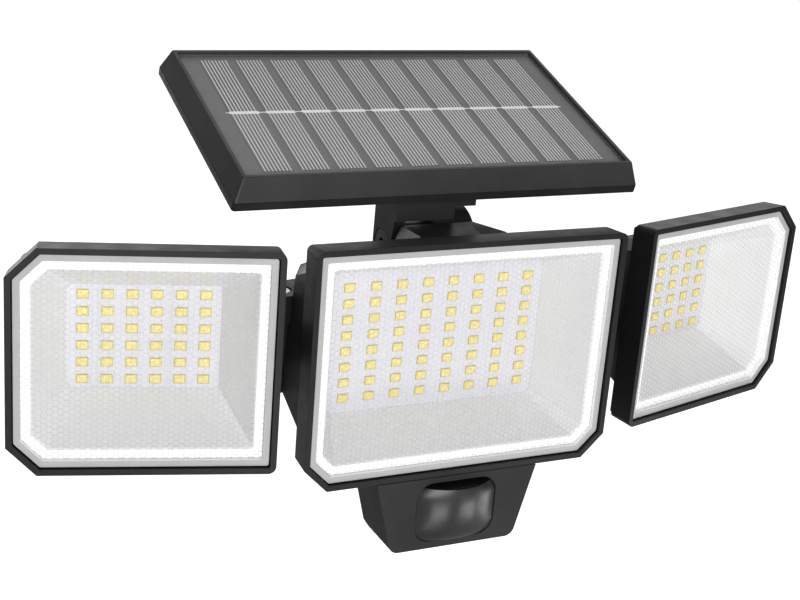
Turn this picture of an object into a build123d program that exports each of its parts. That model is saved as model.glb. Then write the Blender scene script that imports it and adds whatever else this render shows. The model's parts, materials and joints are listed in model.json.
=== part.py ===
"""Solar security light with three lamp heads, a motion sensor and a tilting solar panel.

Frame: millimetres, +Z up, origin at the middle of the wall plate's back face.  The wall is the plane
Y = 0, the lamps look along -Y and +X is on the right of someone who looks at the lamps.
"""
from build123d import *
from math import cos, radians, sin, sqrt
import os

os.makedirs("parts", exist_ok=True)

# ---------------------------------------------------------------- driving dimensions (mm, degrees)
# lamp heads
SIDE_WIDTH, SIDE_HEIGHT, SIDE_CUT = 110.0, 97.0, 12.3        # outer corners are cut off
CENTRE_WIDTH, CENTRE_HEIGHT, CENTRE_CUT = 150.0, 108.5, 11.0  # lower corners are cut off
CORNER_RADIUS = 3.5
SIDE_BEZEL_DEPTH, CENTRE_BEZEL_DEPTH = 12.4, 13.8
BEZEL_DRAFT = 1.0               # how far the bezel's side wall leans in towards the back
BEZEL_FACE = 2.6                # width of the bezel's front face
LENS_GAP, LENS_RECESS = 0.9, 1.7
LENS_THICKNESS, LENS_RIM = 1.8, 2.1
GASKET_THICKNESS = 0.6
REFLECTOR_BAND = 4.1            # flat white band round the mouth of the reflector
REFLECTOR_WALL = 1.2
TRAY_DEPTH = 32.8               # from the bezel's face to the LED board
BOARD_THICKNESS, BOARD_MARGIN = 1.6, 2.0
LED_WIDTH, LED_HEIGHT, LED_THICKNESS = 5.0, 4.0, 0.7
SIDE_LEDS, SIDE_LED_MARGIN = (6, 6), (13.0, 8.0)             # count, and floor left beside the outer LEDs
CENTRE_LEDS, CENTRE_LED_MARGIN = (8, 8), (14.4, 13.85)
SIDE_PLATE = (SIDE_WIDTH - 46.0, SIDE_HEIGHT - 51.0)        # open floor of the reflector tray
CENTRE_PLATE = (CENTRE_WIDTH - 46.0, CENTRE_HEIGHT - 42.5)
TRAY_OUTER_CUTS, TRAY_INNER_CUTS = (3.0, 1.0), (2.0, 0.6)   # corner cuts of the tray's floor
BOSS_RADIUS, BOSS_START, BOSS_FRONT_WALL = 3.4, 7.8, 1.0
BOSS_INSET, CUT_BOSS_INSET = 7.0, 9.0
SHELL_FLANGE, SHELL_INSET, SHELL_LEAN = 2.0, 6.0, 8.0
SHELL_WALL, SHELL_BACK_GAP, FLANGE_INSET = 2.0, 3.6, 2.6
SHELL_LOWER, SHELL_CUTS, SHELL_ROUNDING = 3.0, (10.0, 5.0), 2.5
SHELL_POST_RADIUS, SHELL_POST_SPREAD = 3.0, 0.7             # posts under the board, as a share of its size

# where the heads stand
SHOULDER_BACK = TRAY_DEPTH + 9.2                            # behind the centre lamp's face
BOX_BACK = SHOULDER_BACK + 53.0
FACE_TO_WALL = BOX_BACK + 70.0  # centre lamp's front face to the wall
CENTRE_Z = 48.0                 # centre lamp's middle above the wall plate's middle
SIDE_GAP = 11.3                 # between a side lamp and the centre lamp, before it is turned
SIDE_X, SIDE_BACK, SIDE_UP = (CENTRE_WIDTH + SIDE_WIDTH) / 2 + SIDE_GAP, 13.3, 6.5
SIDE_YAW = 15.0                 # side lamps turned outwards

# main housing: half outlines down the right side, from the top middle, behind the centre lamp's middle
HOUSING_WALL, BACK_WALL = 2.2, 3.0
HALF_WIDTH, HALF_HEIGHT = CENTRE_WIDTH / 2, CENTRE_HEIGHT / 2
CELL_RADIUS, CELL_BODY, CELL_COUNT = 9.2, 65.0, 3           # battery cells
CELL_SPACING, HALF_CELL = 2 * CELL_RADIUS + 0.8, CELL_BODY / 2
# dished seat under the panel's hinge: the floor's edge, the ridge and the ridge's foot
TROUGH_FRONT = [(12.8, HALF_HEIGHT - 5.45), (21.0, HALF_HEIGHT - 1.25), (23.5, HALF_HEIGHT - 7.75)]
TROUGH_BACK = [(16.0, HALF_HEIGHT - 4.05), (18.0, HALF_HEIGHT - 3.85), (20.0, HALF_HEIGHT - 10.75)]
SHOULDER = TROUGH_BACK + [(HALF_WIDTH - 10.2, HALF_HEIGHT - 18.95), (HALF_WIDTH - 8.2, HALF_HEIGHT - 23.75),
                          (HALF_WIDTH - 4.0, 32.25 - HALF_HEIGHT), (HALF_WIDTH - 18.0, 4.25 - HALF_HEIGHT)]
BOX_FRONT = [(17.0, HALF_HEIGHT - 26.25), (HALF_WIDTH - 21.0, HALF_HEIGHT - 34.25),
             (HALF_WIDTH - 17.0, HALF_HEIGHT - 40.25), (HALF_WIDTH - 17.0, 28.25 - HALF_HEIGHT),
             (HALF_WIDTH - 25.0, 12.25 - HALF_HEIGHT)]
BOX_REAR = [(17.0, HALF_HEIGHT - 30.25), (HALF_CELL + 5.5, HALF_HEIGHT - 35.75),
            (HALF_CELL + 9.5, HALF_HEIGHT - 42.25), (HALF_CELL + 9.5, 18.25 - HALF_HEIGHT),
            (HALF_CELL + 3.5, 9.25 - HALF_HEIGHT)]
THROAT_TOP_CUT, THROAT_FOOT_CUT = 7.5, 9.5

# side lamp joints
YAW_X, YAW_BACK = HALF_WIDTH - 5.0, SHOULDER_BACK + 9.6
EAR_RADIUS, EAR_GAP, EAR_ROOT, EAR_WEDGE = 10.0, 0.3, 6.0, 4.0
UPPER_EAR, LOWER_EAR = (8.0, 21.0), (-24.0, -16.0)
BARREL_RADIUS, PIN_RADIUS, PIN_CLEARANCE = 9.0, 2.5, 0.05
TILT_DROP, TILT_BEHIND_SHELL, TILT_RADIUS = 10.5, 10.5, 9.0
HEAD_EAR_X, HEAD_EAR_THICKNESS, HEAD_EAR_WEDGE = SIDE_WIDTH / 2 - 25.3, 6.0, 2.0
ELBOW_DISC, ELBOW_ARM, ELBOW_ARM_BACK = 7.0, (11.0, 14.0), 1.5
BOLT_FIT = 0.02                 # a bolt's shank is this much thinner than the hole that holds it
BOLT_HEAD_RADIUS, TILT_BOLT_HEAD, YAW_BOLT_HEAD = 5.0, 3.0, 2.6
YAW_SINK, YAW_SINK_RADIUS, YAW_NUT_RADIUS, YAW_NUT_THICKNESS = 3.0, 5.4, 4.6, 3.0
BOLT_END = 0.5                  # bolts end this far short of, or beyond, what they pass through

# motion sensor
SENSOR_TOP_WIDTH, SENSOR_FOOT_WIDTH, SENSOR_HEIGHT, SENSOR_DEPTH = 80.0, 62.0, 35.0, 28.0
SENSOR_WALL, SENSOR_RADIUS, SENSOR_HEEL = 2.0, 5.0, (9.5, 4.2)
SENSOR_GAP, SENSOR_POSTS = 0.3, 10.0
WINDOW_WIDTH, WINDOW_HEIGHT, WINDOW_RADIUS, WINDOW_DROP = 40.0, 29.0, 8.0, 2.6
DOME_BULGE, DOME_CREST, DOME_SINK, DOME_BROW, DOME_STEPS = 7.0, 5.0, 0.8, 1.8, 8
DOME_WALL, DOME_CLEARANCE, DOME_FLANGE, DOME_FLANGE_RADIUS = 1.3, 0.3, 2.0, 7.0
DOME_FOOT_BULGE, DOME_DRAFT = 1.0, 0.9
TONGUE_WIDTH, TONGUE_TOP, TONGUE_LOW, TONGUE_SCREW = 40.0, 8.5, 12.0, 5.0
SENSOR_SCREWS, SLOT_GAP, BOARD_CLEARANCE = 26.0, 0.2, 0.8
SENSOR_BOARD, SENSOR_BOARD_DROP, SENSOR_BOARD_RADIUS = (46.0, 23.0), 1.0, 2.0
DETECTOR_BASE, DETECTOR_CAN = (4.9, 0.6), (4.2, 4.2)        # radius and height
POST_RADIUS, POST_SPACING, POST_DROP = 2.4, 36.0, 8.5

# solar panel
PANEL_WIDTH, PANEL_LENGTH, PANEL_TILT = 191.8, 108.3, 18.5
PANEL_BACK, PANEL_UP = SHOULDER_BACK + 43.3, HALF_HEIGHT + 40.15   # rim's middle
PANEL_SKIRT, PANEL_FLARE = 10.5, 3.9
PANEL_RIM, GLASS_RECESS, GLASS_THICKNESS = 2.0, 1.3, 1.2
STRIP_COLUMNS, STRIP_GAP_X, STRIP_GAP_Y, STRIP_SHIFT = 10, 3.27, 1.2, (0.6, 1.05)
STRIP_PITCH = (PANEL_WIDTH - 19.1) / STRIP_COLUMNS
STRIP_SIZE = (STRIP_PITCH - STRIP_GAP_X, (PANEL_LENGTH - 14.4) / 2)
PANE_GAP, PANE_RADIUS, RIM_RADIUS, SKIRT_RADIUS = 0.1, 0.9, 1.0, 1.5
CELL_THICKNESS, BACKING_THICKNESS, PANEL_LEDGE = 0.3, 1.6, 4.0
COVER_HEIGHT, COVER_FLOOR, COVER_WALL = 3.6, 2.0, 2.5
PANEL_SCREW_INSET, PANEL_POST_RADIUS = 7.0, 3.6
HINGE_BACK, HINGE_UP, KNUCKLE_RADIUS = SHOULDER_BACK + 14.5, HALF_HEIGHT - 16.25, 9.4
BRACKET_LEFT, BRACKET_RIGHT, BRACKET_EAR, BRACKET_RADIUS = -20.0, 9.0, 5.4, 9.0
WEB_FRONT, WEB_THICKNESS, WEB_LOW, WEB_STEP, WEB_END = 14.0, 3.0, 13.8, 19.6, 19.5
CAP_RADIUS, CAP_THICKNESS, CAP_GAP, CAP_RECESS_GAP = 6.6, 1.8, 0.2, 0.4
CAP_SOCKET_RADIUS, CAP_SOCKET_DEPTH, BOLT_OVERHANG = 2.6, 1.2, 0.8
CHEEK_RADIUS, CHEEK_END, NUT_RADIUS, NUT_THICKNESS = 16.2, 20.0, 4.6, 3.6
FOOT_MIDDLE, FOOT_SIZE, FOOT_SCREWS, FOOT_THICKNESS = -34.0, (42.0, 34.0), (10.0, 16.0), 2.8
FOOT_RADIUS, FOOT_SCREW_HEAD = 2.0, 1.4

# wall bracket
PLATE_WIDTH, PLATE_HEIGHT, PLATE_THICKNESS = 110.0, 56.0, 4.0
HOLE_SPACING_X, HOLE_SPACING_Z, WALL_HOLE_RADIUS = 88.0, 36.0, 2.6
PLATE_RADIUS, PLATE_CHAMFER = 8.0, 1.0
ARM_AT_WALL, ARM_AT_BOX = (44.0, 40.0), (50.0, 44.0)        # width and height of the arm's two ends
ARM_WALL, CHANNEL_DROP, BOX_MIDDLE = 3.0, 40.0, -12.0
FLANGE_WIDTH, FLANGE_HEIGHT, FLANGE_THICKNESS, FLANGE_RADIUS = 66.0, 54.0, 3.0, 5.0

# battery, electronics and button
CELL_TIP_RADIUS, CELL_TIP, BATTERY_MIDDLE = 3.0, 1.0, -12.5
TRAY_END, TRAY_FLOOR, TRAY_CHEEK, TRAY_RIB, TRAY_RIB_HEIGHT = 2.5, 2.0, 2.0, 1.6, 4.0
BATTERY_GAP, BOARD_CORNER = 0.2, 2.0
TRAY_SHORTER, CHEEK_SHORTER, RIB_SHORTER, CONTROL_SHORTER = 3.0, 14.0, 10.0, 12.0
CHIPS, CHIP_SIZE, CHIP_HEIGHT = ((-18.0, 8.0), (6.0, 10.0)), (9.0, 7.0), 1.8
CAPACITORS, CAPACITOR_RADIUS, CAPACITOR_HEIGHT = ((24.0, 12.0), (-22.0, -10.0)), 4.0, 9.0
CONNECTOR, CONNECTOR_SIZE, CONNECTOR_HEIGHT = (-4.0, -12.0), (16.0, 6.0), 6.0
BUTTON_X, BUTTON_BACK, BUTTON_RADIUS, BUTTON_TRAVEL = 25.0, SHOULDER_BACK + 12.0, 5.5, 1.2
BUTTON_HOLE_RIM, BUTTON_SIDE_GAP, BUTTON_PROUD, BUTTON_ROUNDING = 0.8, 0.25, 2.6, 0.8
BUTTON_COLLAR, BUTTON_COLLAR_HEIGHT, STEM_RADIUS, STEM_LENGTH = 0.9, 1.2, 2.0, 3.0
SWITCH_TIP, SWITCH_TIP_HEIGHT, SWITCH_WIDTH, SWITCH_HEIGHT, SWITCH_FRONT = 1.7, 1.0, 6.2, 3.6, 3.0

# fasteners
SCREW_RADIUS, SCREW_HEAD_RADIUS, SCREW_HEAD = 1.5, 2.6, 1.8

FACE_Y = -FACE_TO_WALL
SENSOR_TOP = -CENTRE_HEIGHT / 2 - SENSOR_GAP
SENSOR_BOARD_BACK = SENSOR_DEPTH - SENSOR_WALL - SENSOR_POSTS
WINDOW_MIDDLE = SENSOR_TOP - WINDOW_DROP - WINDOW_HEIGHT / 2
POCKET_DEPTH = LENS_RECESS + LENS_THICKNESS + GASKET_THICKNESS
REFLECTOR_FRONT = LENS_RECESS + LENS_THICKNESS + 0.3
SHELL_BACK = TRAY_DEPTH + BOARD_THICKNESS + SHELL_BACK_GAP + SHELL_WALL
TILT_BACK = SHELL_BACK + TILT_BEHIND_SHELL
KNUCKLE = (BRACKET_LEFT + BRACKET_EAR + EAR_GAP, BRACKET_RIGHT - BRACKET_EAR - EAR_GAP)
CHEEK_START = BRACKET_RIGHT + EAR_GAP
BRACKET_MIDDLE = (BRACKET_LEFT + BRACKET_RIGHT) / 2
FLANGE_SCREWS = (FLANGE_WIDTH - 10.0, FLANGE_HEIGHT - 10.0)
TRAY_HALF = HALF_CELL + TRAY_END
BATTERY_BACK = BOX_BACK - BACK_WALL - TRAY_FLOOR - CELL_RADIUS - BATTERY_GAP
CONTROL_BACK = BATTERY_BACK - CELL_RADIUS - 4.0
HOLE_GAP = 0.1                  # a screw's clearance hole is this much wider all round
EPS = 0.05                      # overlap that keeps cuts and joins clean


# ---------------------------------------------------------------- helpers
def save(part, name):
    """Label one finished piece and write it."""
    part.label = name
    export_step(part, f"parts/{name}.step")


def at(x, back, up):
    """A point given from the centre lamp's front face: right, behind and above its middle."""
    return (x, FACE_Y + back, CENTRE_Z + up)


def facing_plane(x, back, up, yaw):
    """A plane that looks out of a lamp: local X right, local Y up, local Z towards the viewer."""
    turn = radians(yaw)
    return Plane(origin=at(x, back, up), x_dir=(cos(turn), sin(turn), 0), z_dir=(sin(turn), -cos(turn), 0))


def cross_plane(x, back, up):
    """A plane that stands from front to back: local X runs back, local Y up, and its normal to the right."""
    return Plane(origin=at(x, back, up), x_dir=(0, 1, 0), z_dir=(1, 0, 0))


def hinge_section(x):
    """A plane across the panel's hinge axis at x."""
    return cross_plane(x, HINGE_BACK, HINGE_UP)


def level_plane(x, back, up):
    """A level plane through a point."""
    return Plane(origin=at(x, back, up))


def upright_plane(back):
    """A plane across the object, behind the centre lamp's face, looking out of the wall."""
    return facing_plane(0, back, 0, 0)


def slotted_screw(plane, length, radius=SCREW_RADIUS, head_radius=SCREW_HEAD_RADIUS, head=SCREW_HEAD):
    """A cross-slot screw: its head stands on the plane and its shank runs down below it."""
    with BuildPart() as screw:
        with BuildSketch(plane):
            Circle(head_radius)
        extrude(amount=head)
        fillet(screw.edges().group_by(SortBy.LENGTH)[-1].filter_by(GeomType.CIRCLE), head * 0.3)
        with BuildSketch(plane):
            Circle(radius)
        extrude(amount=-length)
        with BuildSketch(plane.offset(head)):
            Rectangle(head_radius * 1.3, head_radius * 0.26)
            Rectangle(head_radius * 0.26, head_radius * 1.3)
        extrude(amount=-head * 0.6, mode=Mode.SUBTRACT)
    return screw.part


def mirrored_outline(points):
    """Close a half outline, listed down its right side, with its mirror image on the left."""
    return points + [(-x, y) for x, y in reversed(points)]


# ---------------------------------------------------------------- lamp heads
class Head:
    """Sizes and corner pattern of one lamp head, all told from its front face's middle."""

    def __init__(self, name, plane, width, height, cut, cut_corners, bezel_depth, plate, leds, pitch):
        self.name, self.plane = name, plane
        self.width, self.height, self.cut, self.cut_corners = width, height, cut, cut_corners
        self.bezel_depth, self.plate, self.leds, self.pitch = bezel_depth, plate, leds, pitch

    def is_cut(self, x, y):
        """True for a corner that is cut off: x and y tell which corner."""
        return (x * self.cut_corners[0] + y * self.cut_corners[1]) > 0

    def outline(self, inset):
        """Sketch the rim's outline, moved in by inset: cut corners stay cut, the others stay round."""
        half_width, half_height = self.width / 2 - inset, self.height / 2 - inset
        cut = max(self.cut - inset * (2 - sqrt(2)), 0.5)
        radius = max(CORNER_RADIUS - inset, 0.5)
        Rectangle(2 * half_width, 2 * half_height)
        chamfer([v for v in vertices() if self.is_cut(v.X, v.Y)], cut)
        plain = [v for v in vertices() if abs(abs(v.X) - half_width) + abs(abs(v.Y) - half_height) < EPS]
        fillet(plain, radius)

    def octagon(self, half_width, half_height, cut, small_cut):
        """Sketch an eight-sided outline: the wide cuts are on the head's cut corners."""
        points = []
        for x, y in ((1, 1), (1, -1), (-1, -1), (-1, 1)):
            size = cut if self.is_cut(x * half_width, y * half_height) else small_cut
            ends = [(x * (half_width - size), y * half_height), (x * half_width, y * (half_height - size))]
            points += ends if x * y > 0 else ends[::-1]
        Polygon(*points, align=None)

    def boss_places(self):
        """Middles of the four screw bosses in the bezel's corners."""
        places = []
        for x in (-1, 1):
            for y in (-1, 1):
                inset = CUT_BOSS_INSET if self.is_cut(x * self.width, y * self.height) else BOSS_INSET
                places.append((x * (self.width / 2 - inset), y * (self.height / 2 - inset)))
        return places


def face_inset():
    """Inset of the lens's edge."""
    return BEZEL_FACE + LENS_GAP


def ledge_inset():
    """Inset of the hole behind the lens."""
    return face_inset() + LENS_RIM


def mouth_inset():
    """Inset of the reflector's mouth."""
    return ledge_inset() + REFLECTOR_BAND


def make_bezel(head):
    """Front frame with a pocket for the lens, a ledge under it and a screw boss in each corner."""
    plane, depth = head.plane, head.bezel_depth
    with BuildPart() as bezel:
        with BuildSketch(plane):
            head.outline(0)
        with BuildSketch(plane.offset(-depth)):
            head.outline(BEZEL_DRAFT)
        loft(ruled=True)
        with BuildSketch(plane):
            head.outline(BEZEL_FACE)
        extrude(amount=-POCKET_DEPTH, mode=Mode.SUBTRACT)
        with BuildSketch(plane.offset(-POCKET_DEPTH)):
            head.outline(ledge_inset())
        extrude(amount=POCKET_DEPTH - depth, mode=Mode.SUBTRACT)
        with BuildSketch(plane.offset(-BOSS_START)):
            with Locations(*head.boss_places()):
                Circle(BOSS_RADIUS)
        extrude(amount=BOSS_START - depth)
        with BuildSketch(plane.offset(-depth)):
            with Locations(*head.boss_places()):
                Circle(SCREW_RADIUS)
        extrude(amount=depth - BOSS_START - BOSS_FRONT_WALL, mode=Mode.SUBTRACT)
    save(bezel.part, f"{head.name}_bezel")


def make_lens(head):
    """Clear cover plate, set a little below the bezel's face."""
    with BuildPart() as lens:
        with BuildSketch(head.plane.offset(-LENS_RECESS)):
            head.outline(face_inset())
        extrude(amount=-LENS_THICKNESS)
    save(lens.part, f"{head.name}_lens")


def make_gasket(head):
    """Seal between the lens's rim and the bezel's ledge."""
    with BuildPart() as gasket:
        with BuildSketch(head.plane.offset(-LENS_RECESS - LENS_THICKNESS)):
            head.outline(face_inset() + 0.1)
        extrude(amount=-GASKET_THICKNESS)
        with BuildSketch(head.plane.offset(-LENS_RECESS - LENS_THICKNESS)):
            head.outline(ledge_inset())
        extrude(amount=-GASKET_THICKNESS, mode=Mode.SUBTRACT)
    save(gasket.part, f"{head.name}_gasket")


def make_reflector(head):
    """White tray: a flat band behind the lens, then four walls that slope down to the open floor."""
    plane = head.plane
    mouth_width, mouth_height = head.width / 2 - mouth_inset(), head.height / 2 - mouth_inset()
    mouth_cut = head.cut - mouth_inset() * (2 - sqrt(2))
    floor_width, floor_height = head.plate[0] / 2, head.plate[1] / 2
    wall = REFLECTOR_WALL
    with BuildPart() as reflector:
        with BuildSketch(plane.offset(-REFLECTOR_FRONT - wall)):
            head.octagon(mouth_width + wall, mouth_height + wall, mouth_cut + wall * 0.6, TRAY_OUTER_CUTS[1])
        with BuildSketch(plane.offset(-TRAY_DEPTH)):
            head.octagon(floor_width + wall, floor_height + wall, *TRAY_OUTER_CUTS)
        loft(ruled=True)
        with BuildSketch(plane.offset(-REFLECTOR_FRONT)):
            head.outline(ledge_inset() + 0.2)
        extrude(amount=-wall)
        with BuildSketch(plane.offset(-REFLECTOR_FRONT + EPS)):
            head.octagon(mouth_width, mouth_height, mouth_cut, TRAY_INNER_CUTS[1])
        with BuildSketch(plane.offset(-TRAY_DEPTH - EPS)):
            head.octagon(floor_width, floor_height, *TRAY_INNER_CUTS)
        loft(ruled=True, mode=Mode.SUBTRACT)
    save(reflector.part, f"{head.name}_reflector")


def board_size(head):
    """Width and height of the LED board, which the tray's foot stands on."""
    margin = 2 * (REFLECTOR_WALL + BOARD_MARGIN)
    return head.plate[0] + margin, head.plate[1] + margin


def make_led_board(head):
    """Circuit board that carries the LEDs."""
    with BuildPart() as board:
        with BuildSketch(head.plane.offset(-TRAY_DEPTH)):
            RectangleRounded(*board_size(head), BOARD_CORNER)
        extrude(amount=-BOARD_THICKNESS)
    save(board.part, f"{head.name}_led_board")


def led_pitch(plate, leds, margin):
    """Pitch of a board's LEDs across and down, so that they fill its floor up to the margin."""
    return (plate[0] - margin[0]) / (leds[0] - 1), (plate[1] - margin[1]) / (leds[1] - 1)


def make_leds(head):
    """All the LEDs of one board: separate small blocks on one grid."""
    with BuildPart() as leds:
        with BuildSketch(head.plane.offset(-TRAY_DEPTH)):
            with GridLocations(*head.pitch, *head.leds):
                Rectangle(LED_WIDTH, LED_HEIGHT)
        extrude(amount=LED_THICKNESS)
    save(leds.part, f"{head.name}_leds")


def make_head_screws(head, seat_depth):
    """Screws that hold the housing or shell to the bezel, driven in from behind."""
    origin = head.plane.offset(-seat_depth).origin
    seat = Plane(origin=origin, x_dir=-head.plane.x_dir, z_dir=-head.plane.z_dir)
    length = seat_depth - BOSS_START - BOSS_FRONT_WALL - BOLT_END
    screw = slotted_screw(Plane.XY, length, radius=SCREW_RADIUS - BOLT_FIT)
    with BuildPart() as screws:
        with Locations(seat):
            with Locations(*[(-x, y) for x, y in head.boss_places()]):
                add(screw)
    save(screws.part, f"{head.name}_screws")


def make_front_pieces(head):
    """Everything in a lamp's front: the same pieces in each of the three heads."""
    make_bezel(head)
    make_lens(head)
    make_gasket(head)
    make_reflector(head)
    make_led_board(head)
    make_leds(head)


# ---------------------------------------------------------------- side lamps and their joints
def side_head(side):
    """The left (-1) or the right (+1) lamp."""
    name = "left" if side < 0 else "right"
    plane = facing_plane(side * SIDE_X, SIDE_BACK, SIDE_UP, side * SIDE_YAW)
    return Head(name, plane, SIDE_WIDTH, SIDE_HEIGHT, SIDE_CUT, (side, 0), SIDE_BEZEL_DEPTH,
                SIDE_PLATE, SIDE_LEDS, led_pitch(SIDE_PLATE, SIDE_LEDS, SIDE_LED_MARGIN))


def shell_section(head, inset):
    """One section of a side lamp's back shell."""
    head.octagon(head.width / 2 - inset, head.height / 2 - inset - SHELL_LOWER, *SHELL_CUTS)


def hinge_plane(head, x):
    """Plane across a side lamp's tilt pin: its normal runs inwards, its local X runs back."""
    inwards = head.plane.x_dir * (-1 if head.name == "right" else 1)
    origin = head.plane.offset(-TILT_BACK).from_local_coords((0, -TILT_DROP, 0)) + inwards * x
    return Plane(origin=origin, x_dir=-head.plane.z_dir, z_dir=inwards)


def make_shell(head):
    """Back shell: a flange behind the bezel, a tapered box round the tray and the tilt ear."""
    plane, depth = head.plane, head.bezel_depth
    inner = SHELL_INSET + SHELL_WALL
    with BuildPart() as shell:
        with BuildSketch(plane.offset(-depth)):
            head.outline(FLANGE_INSET)
        extrude(amount=-SHELL_FLANGE)
        with BuildSketch(plane.offset(-depth)):
            shell_section(head, SHELL_INSET)
        with BuildSketch(plane.offset(-SHELL_BACK)):
            shell_section(head, SHELL_INSET + SHELL_LEAN)
        loft(ruled=True)
        fillet(shell.faces().sort_by(Axis(plane.origin, -plane.z_dir))[-1].edges(), SHELL_ROUNDING)
        ear = hinge_plane(head, HEAD_EAR_X)
        root = -TILT_BEHIND_SHELL - 1.0
        with BuildSketch(ear):
            Circle(TILT_RADIUS)
            Polygon((0, TILT_RADIUS), (root, TILT_RADIUS + HEAD_EAR_WEDGE),
                    (root, -TILT_RADIUS - HEAD_EAR_WEDGE), (0, -TILT_RADIUS), align=None)
        extrude(amount=HEAD_EAR_THICKNESS)
        with BuildSketch(ear):
            Circle(PIN_RADIUS + PIN_CLEARANCE)
        extrude(amount=HEAD_EAR_THICKNESS, mode=Mode.SUBTRACT)
        with BuildSketch(plane.offset(-depth + EPS)):
            shell_section(head, inner)
        with BuildSketch(plane.offset(-SHELL_BACK + SHELL_WALL)):
            shell_section(head, inner + SHELL_LEAN)
        loft(ruled=True, mode=Mode.SUBTRACT)
        with BuildSketch(plane.offset(-SHELL_BACK + SHELL_WALL - EPS)):
            with GridLocations(head.plate[0] * SHELL_POST_SPREAD, head.plate[1] * SHELL_POST_SPREAD, 2, 2):
                Circle(SHELL_POST_RADIUS)
        extrude(amount=SHELL_BACK_GAP + EPS)
        with BuildSketch(plane.offset(-depth)):
            with Locations(*head.boss_places()):
                Circle(SCREW_RADIUS + HOLE_GAP)
        extrude(amount=-SHELL_FLANGE, mode=Mode.SUBTRACT)
    save(shell.part, f"{head.name}_shell")


def make_elbow(head, side):
    """Elbow between the housing's ears and the lamp: a standing barrel, a short arm and the tilt disc."""
    start = HEAD_EAR_X + HEAD_EAR_THICKNESS + EAR_GAP
    disc_plane = hinge_plane(head, start)
    barrel_low, barrel_high = LOWER_EAR[1] + EAR_GAP, UPPER_EAR[0] - EAR_GAP
    barrel_foot = level_plane(side * YAW_X, YAW_BACK, barrel_low)
    reach = (Vector(*at(side * YAW_X, YAW_BACK, 0)) - disc_plane.origin).dot(disc_plane.z_dir)
    with BuildPart() as elbow:
        with BuildSketch(disc_plane):
            Circle(TILT_RADIUS)
        extrude(amount=ELBOW_DISC)
        with BuildSketch(disc_plane.offset(ELBOW_DISC / 2)):
            with Locations((ELBOW_ARM_BACK, 0)):
                Rectangle(*ELBOW_ARM)
        extrude(amount=reach - ELBOW_DISC / 2)
        with BuildSketch(barrel_foot):
            Circle(BARREL_RADIUS)
        extrude(amount=barrel_high - barrel_low)
        with BuildSketch(barrel_foot):
            Circle(PIN_RADIUS + PIN_CLEARANCE)
        extrude(amount=barrel_high - barrel_low, mode=Mode.SUBTRACT)
        with BuildSketch(disc_plane):
            Circle(PIN_RADIUS)
        extrude(amount=ELBOW_DISC, mode=Mode.SUBTRACT)
    save(elbow.part, f"{head.name}_elbow")


def make_tilt_bolt(head):
    """Tilt bolt: through the lamp's ear with a running fit, held in the elbow's disc."""
    face = hinge_plane(head, HEAD_EAR_X - EAR_GAP)
    back = Plane(origin=face.origin, x_dir=face.x_dir, z_dir=-face.z_dir)
    shank = HEAD_EAR_THICKNESS + 2 * EAR_GAP + ELBOW_DISC - BOLT_END
    bolt = slotted_screw(back, shank, radius=PIN_RADIUS - BOLT_FIT, head_radius=BOLT_HEAD_RADIUS,
                         head=TILT_BOLT_HEAD)
    save(bolt, f"{head.name}_tilt_bolt")


def make_yaw_bolt(head, side):
    """Yaw bolt and its nut: the bolt stands through both of the housing's ears and the barrel."""
    seat = UPPER_EAR[1] - YAW_SINK
    length = seat - LOWER_EAR[0] + YAW_NUT_THICKNESS + BOLT_END
    bolt = slotted_screw(level_plane(side * YAW_X, YAW_BACK, seat), length, radius=PIN_RADIUS - BOLT_FIT,
                         head_radius=BOLT_HEAD_RADIUS, head=YAW_BOLT_HEAD)
    save(bolt, f"{head.name}_yaw_bolt")
    with BuildPart() as nut:
        with BuildSketch(level_plane(side * YAW_X, YAW_BACK, LOWER_EAR[0])):
            RegularPolygon(radius=YAW_NUT_RADIUS, side_count=6)
            Circle(PIN_RADIUS, mode=Mode.SUBTRACT)
        extrude(amount=-YAW_NUT_THICKNESS)
    save(nut.part, f"{head.name}_yaw_nut")


# ---------------------------------------------------------------- main housing
def section(points):
    """Sketch one mirrored cross-section of the housing."""
    Polygon(*mirrored_outline(points), align=None)


def hollow_section(points):
    """Sketch the hollow inside one cross-section: a wall's thickness in, and plain under the trough."""
    Polygon(*mirrored_outline(points), align=None)
    offset(amount=-HOUSING_WALL, kind=Kind.INTERSECTION, mode=Mode.REPLACE)


def throat_points(head):
    """The housing's section just behind the flange: a flat-topped hump and cut corners."""
    half_width, half_height = head.width / 2 - SHELL_INSET, head.height / 2 - SHELL_INSET
    return TROUGH_FRONT + [(half_width - THROAT_TOP_CUT, half_height),
                           (half_width, half_height - THROAT_TOP_CUT),
                           (half_width, THROAT_FOOT_CUT - half_height),
                           (half_width - THROAT_FOOT_CUT, -half_height)]


def ear_outline(side):
    """Sketch a side ear's outline from the housing's side wall out round the yaw pin."""
    inner, outer = side * (BOX_FRONT[2][0] - EAR_ROOT), side * YAW_X
    Polygon((outer, -EAR_RADIUS), (inner, -EAR_RADIUS), (inner, EAR_RADIUS + EAR_WEDGE), (outer, EAR_RADIUS),
            align=None)
    with Locations((outer, 0)):
        Circle(EAR_RADIUS)


def tongue_box():
    """Sides of the tongue under the housing that the motion sensor's case is screwed to."""
    return dict(width=TONGUE_WIDTH, front=SENSOR_BOARD_BACK + BOARD_THICKNESS + BOARD_CLEARANCE,
                back=SENSOR_DEPTH - SENSOR_WALL - SLOT_GAP, top=SENSOR_TOP + TONGUE_TOP,
                low=SENSOR_TOP - TONGUE_LOW)


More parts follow.
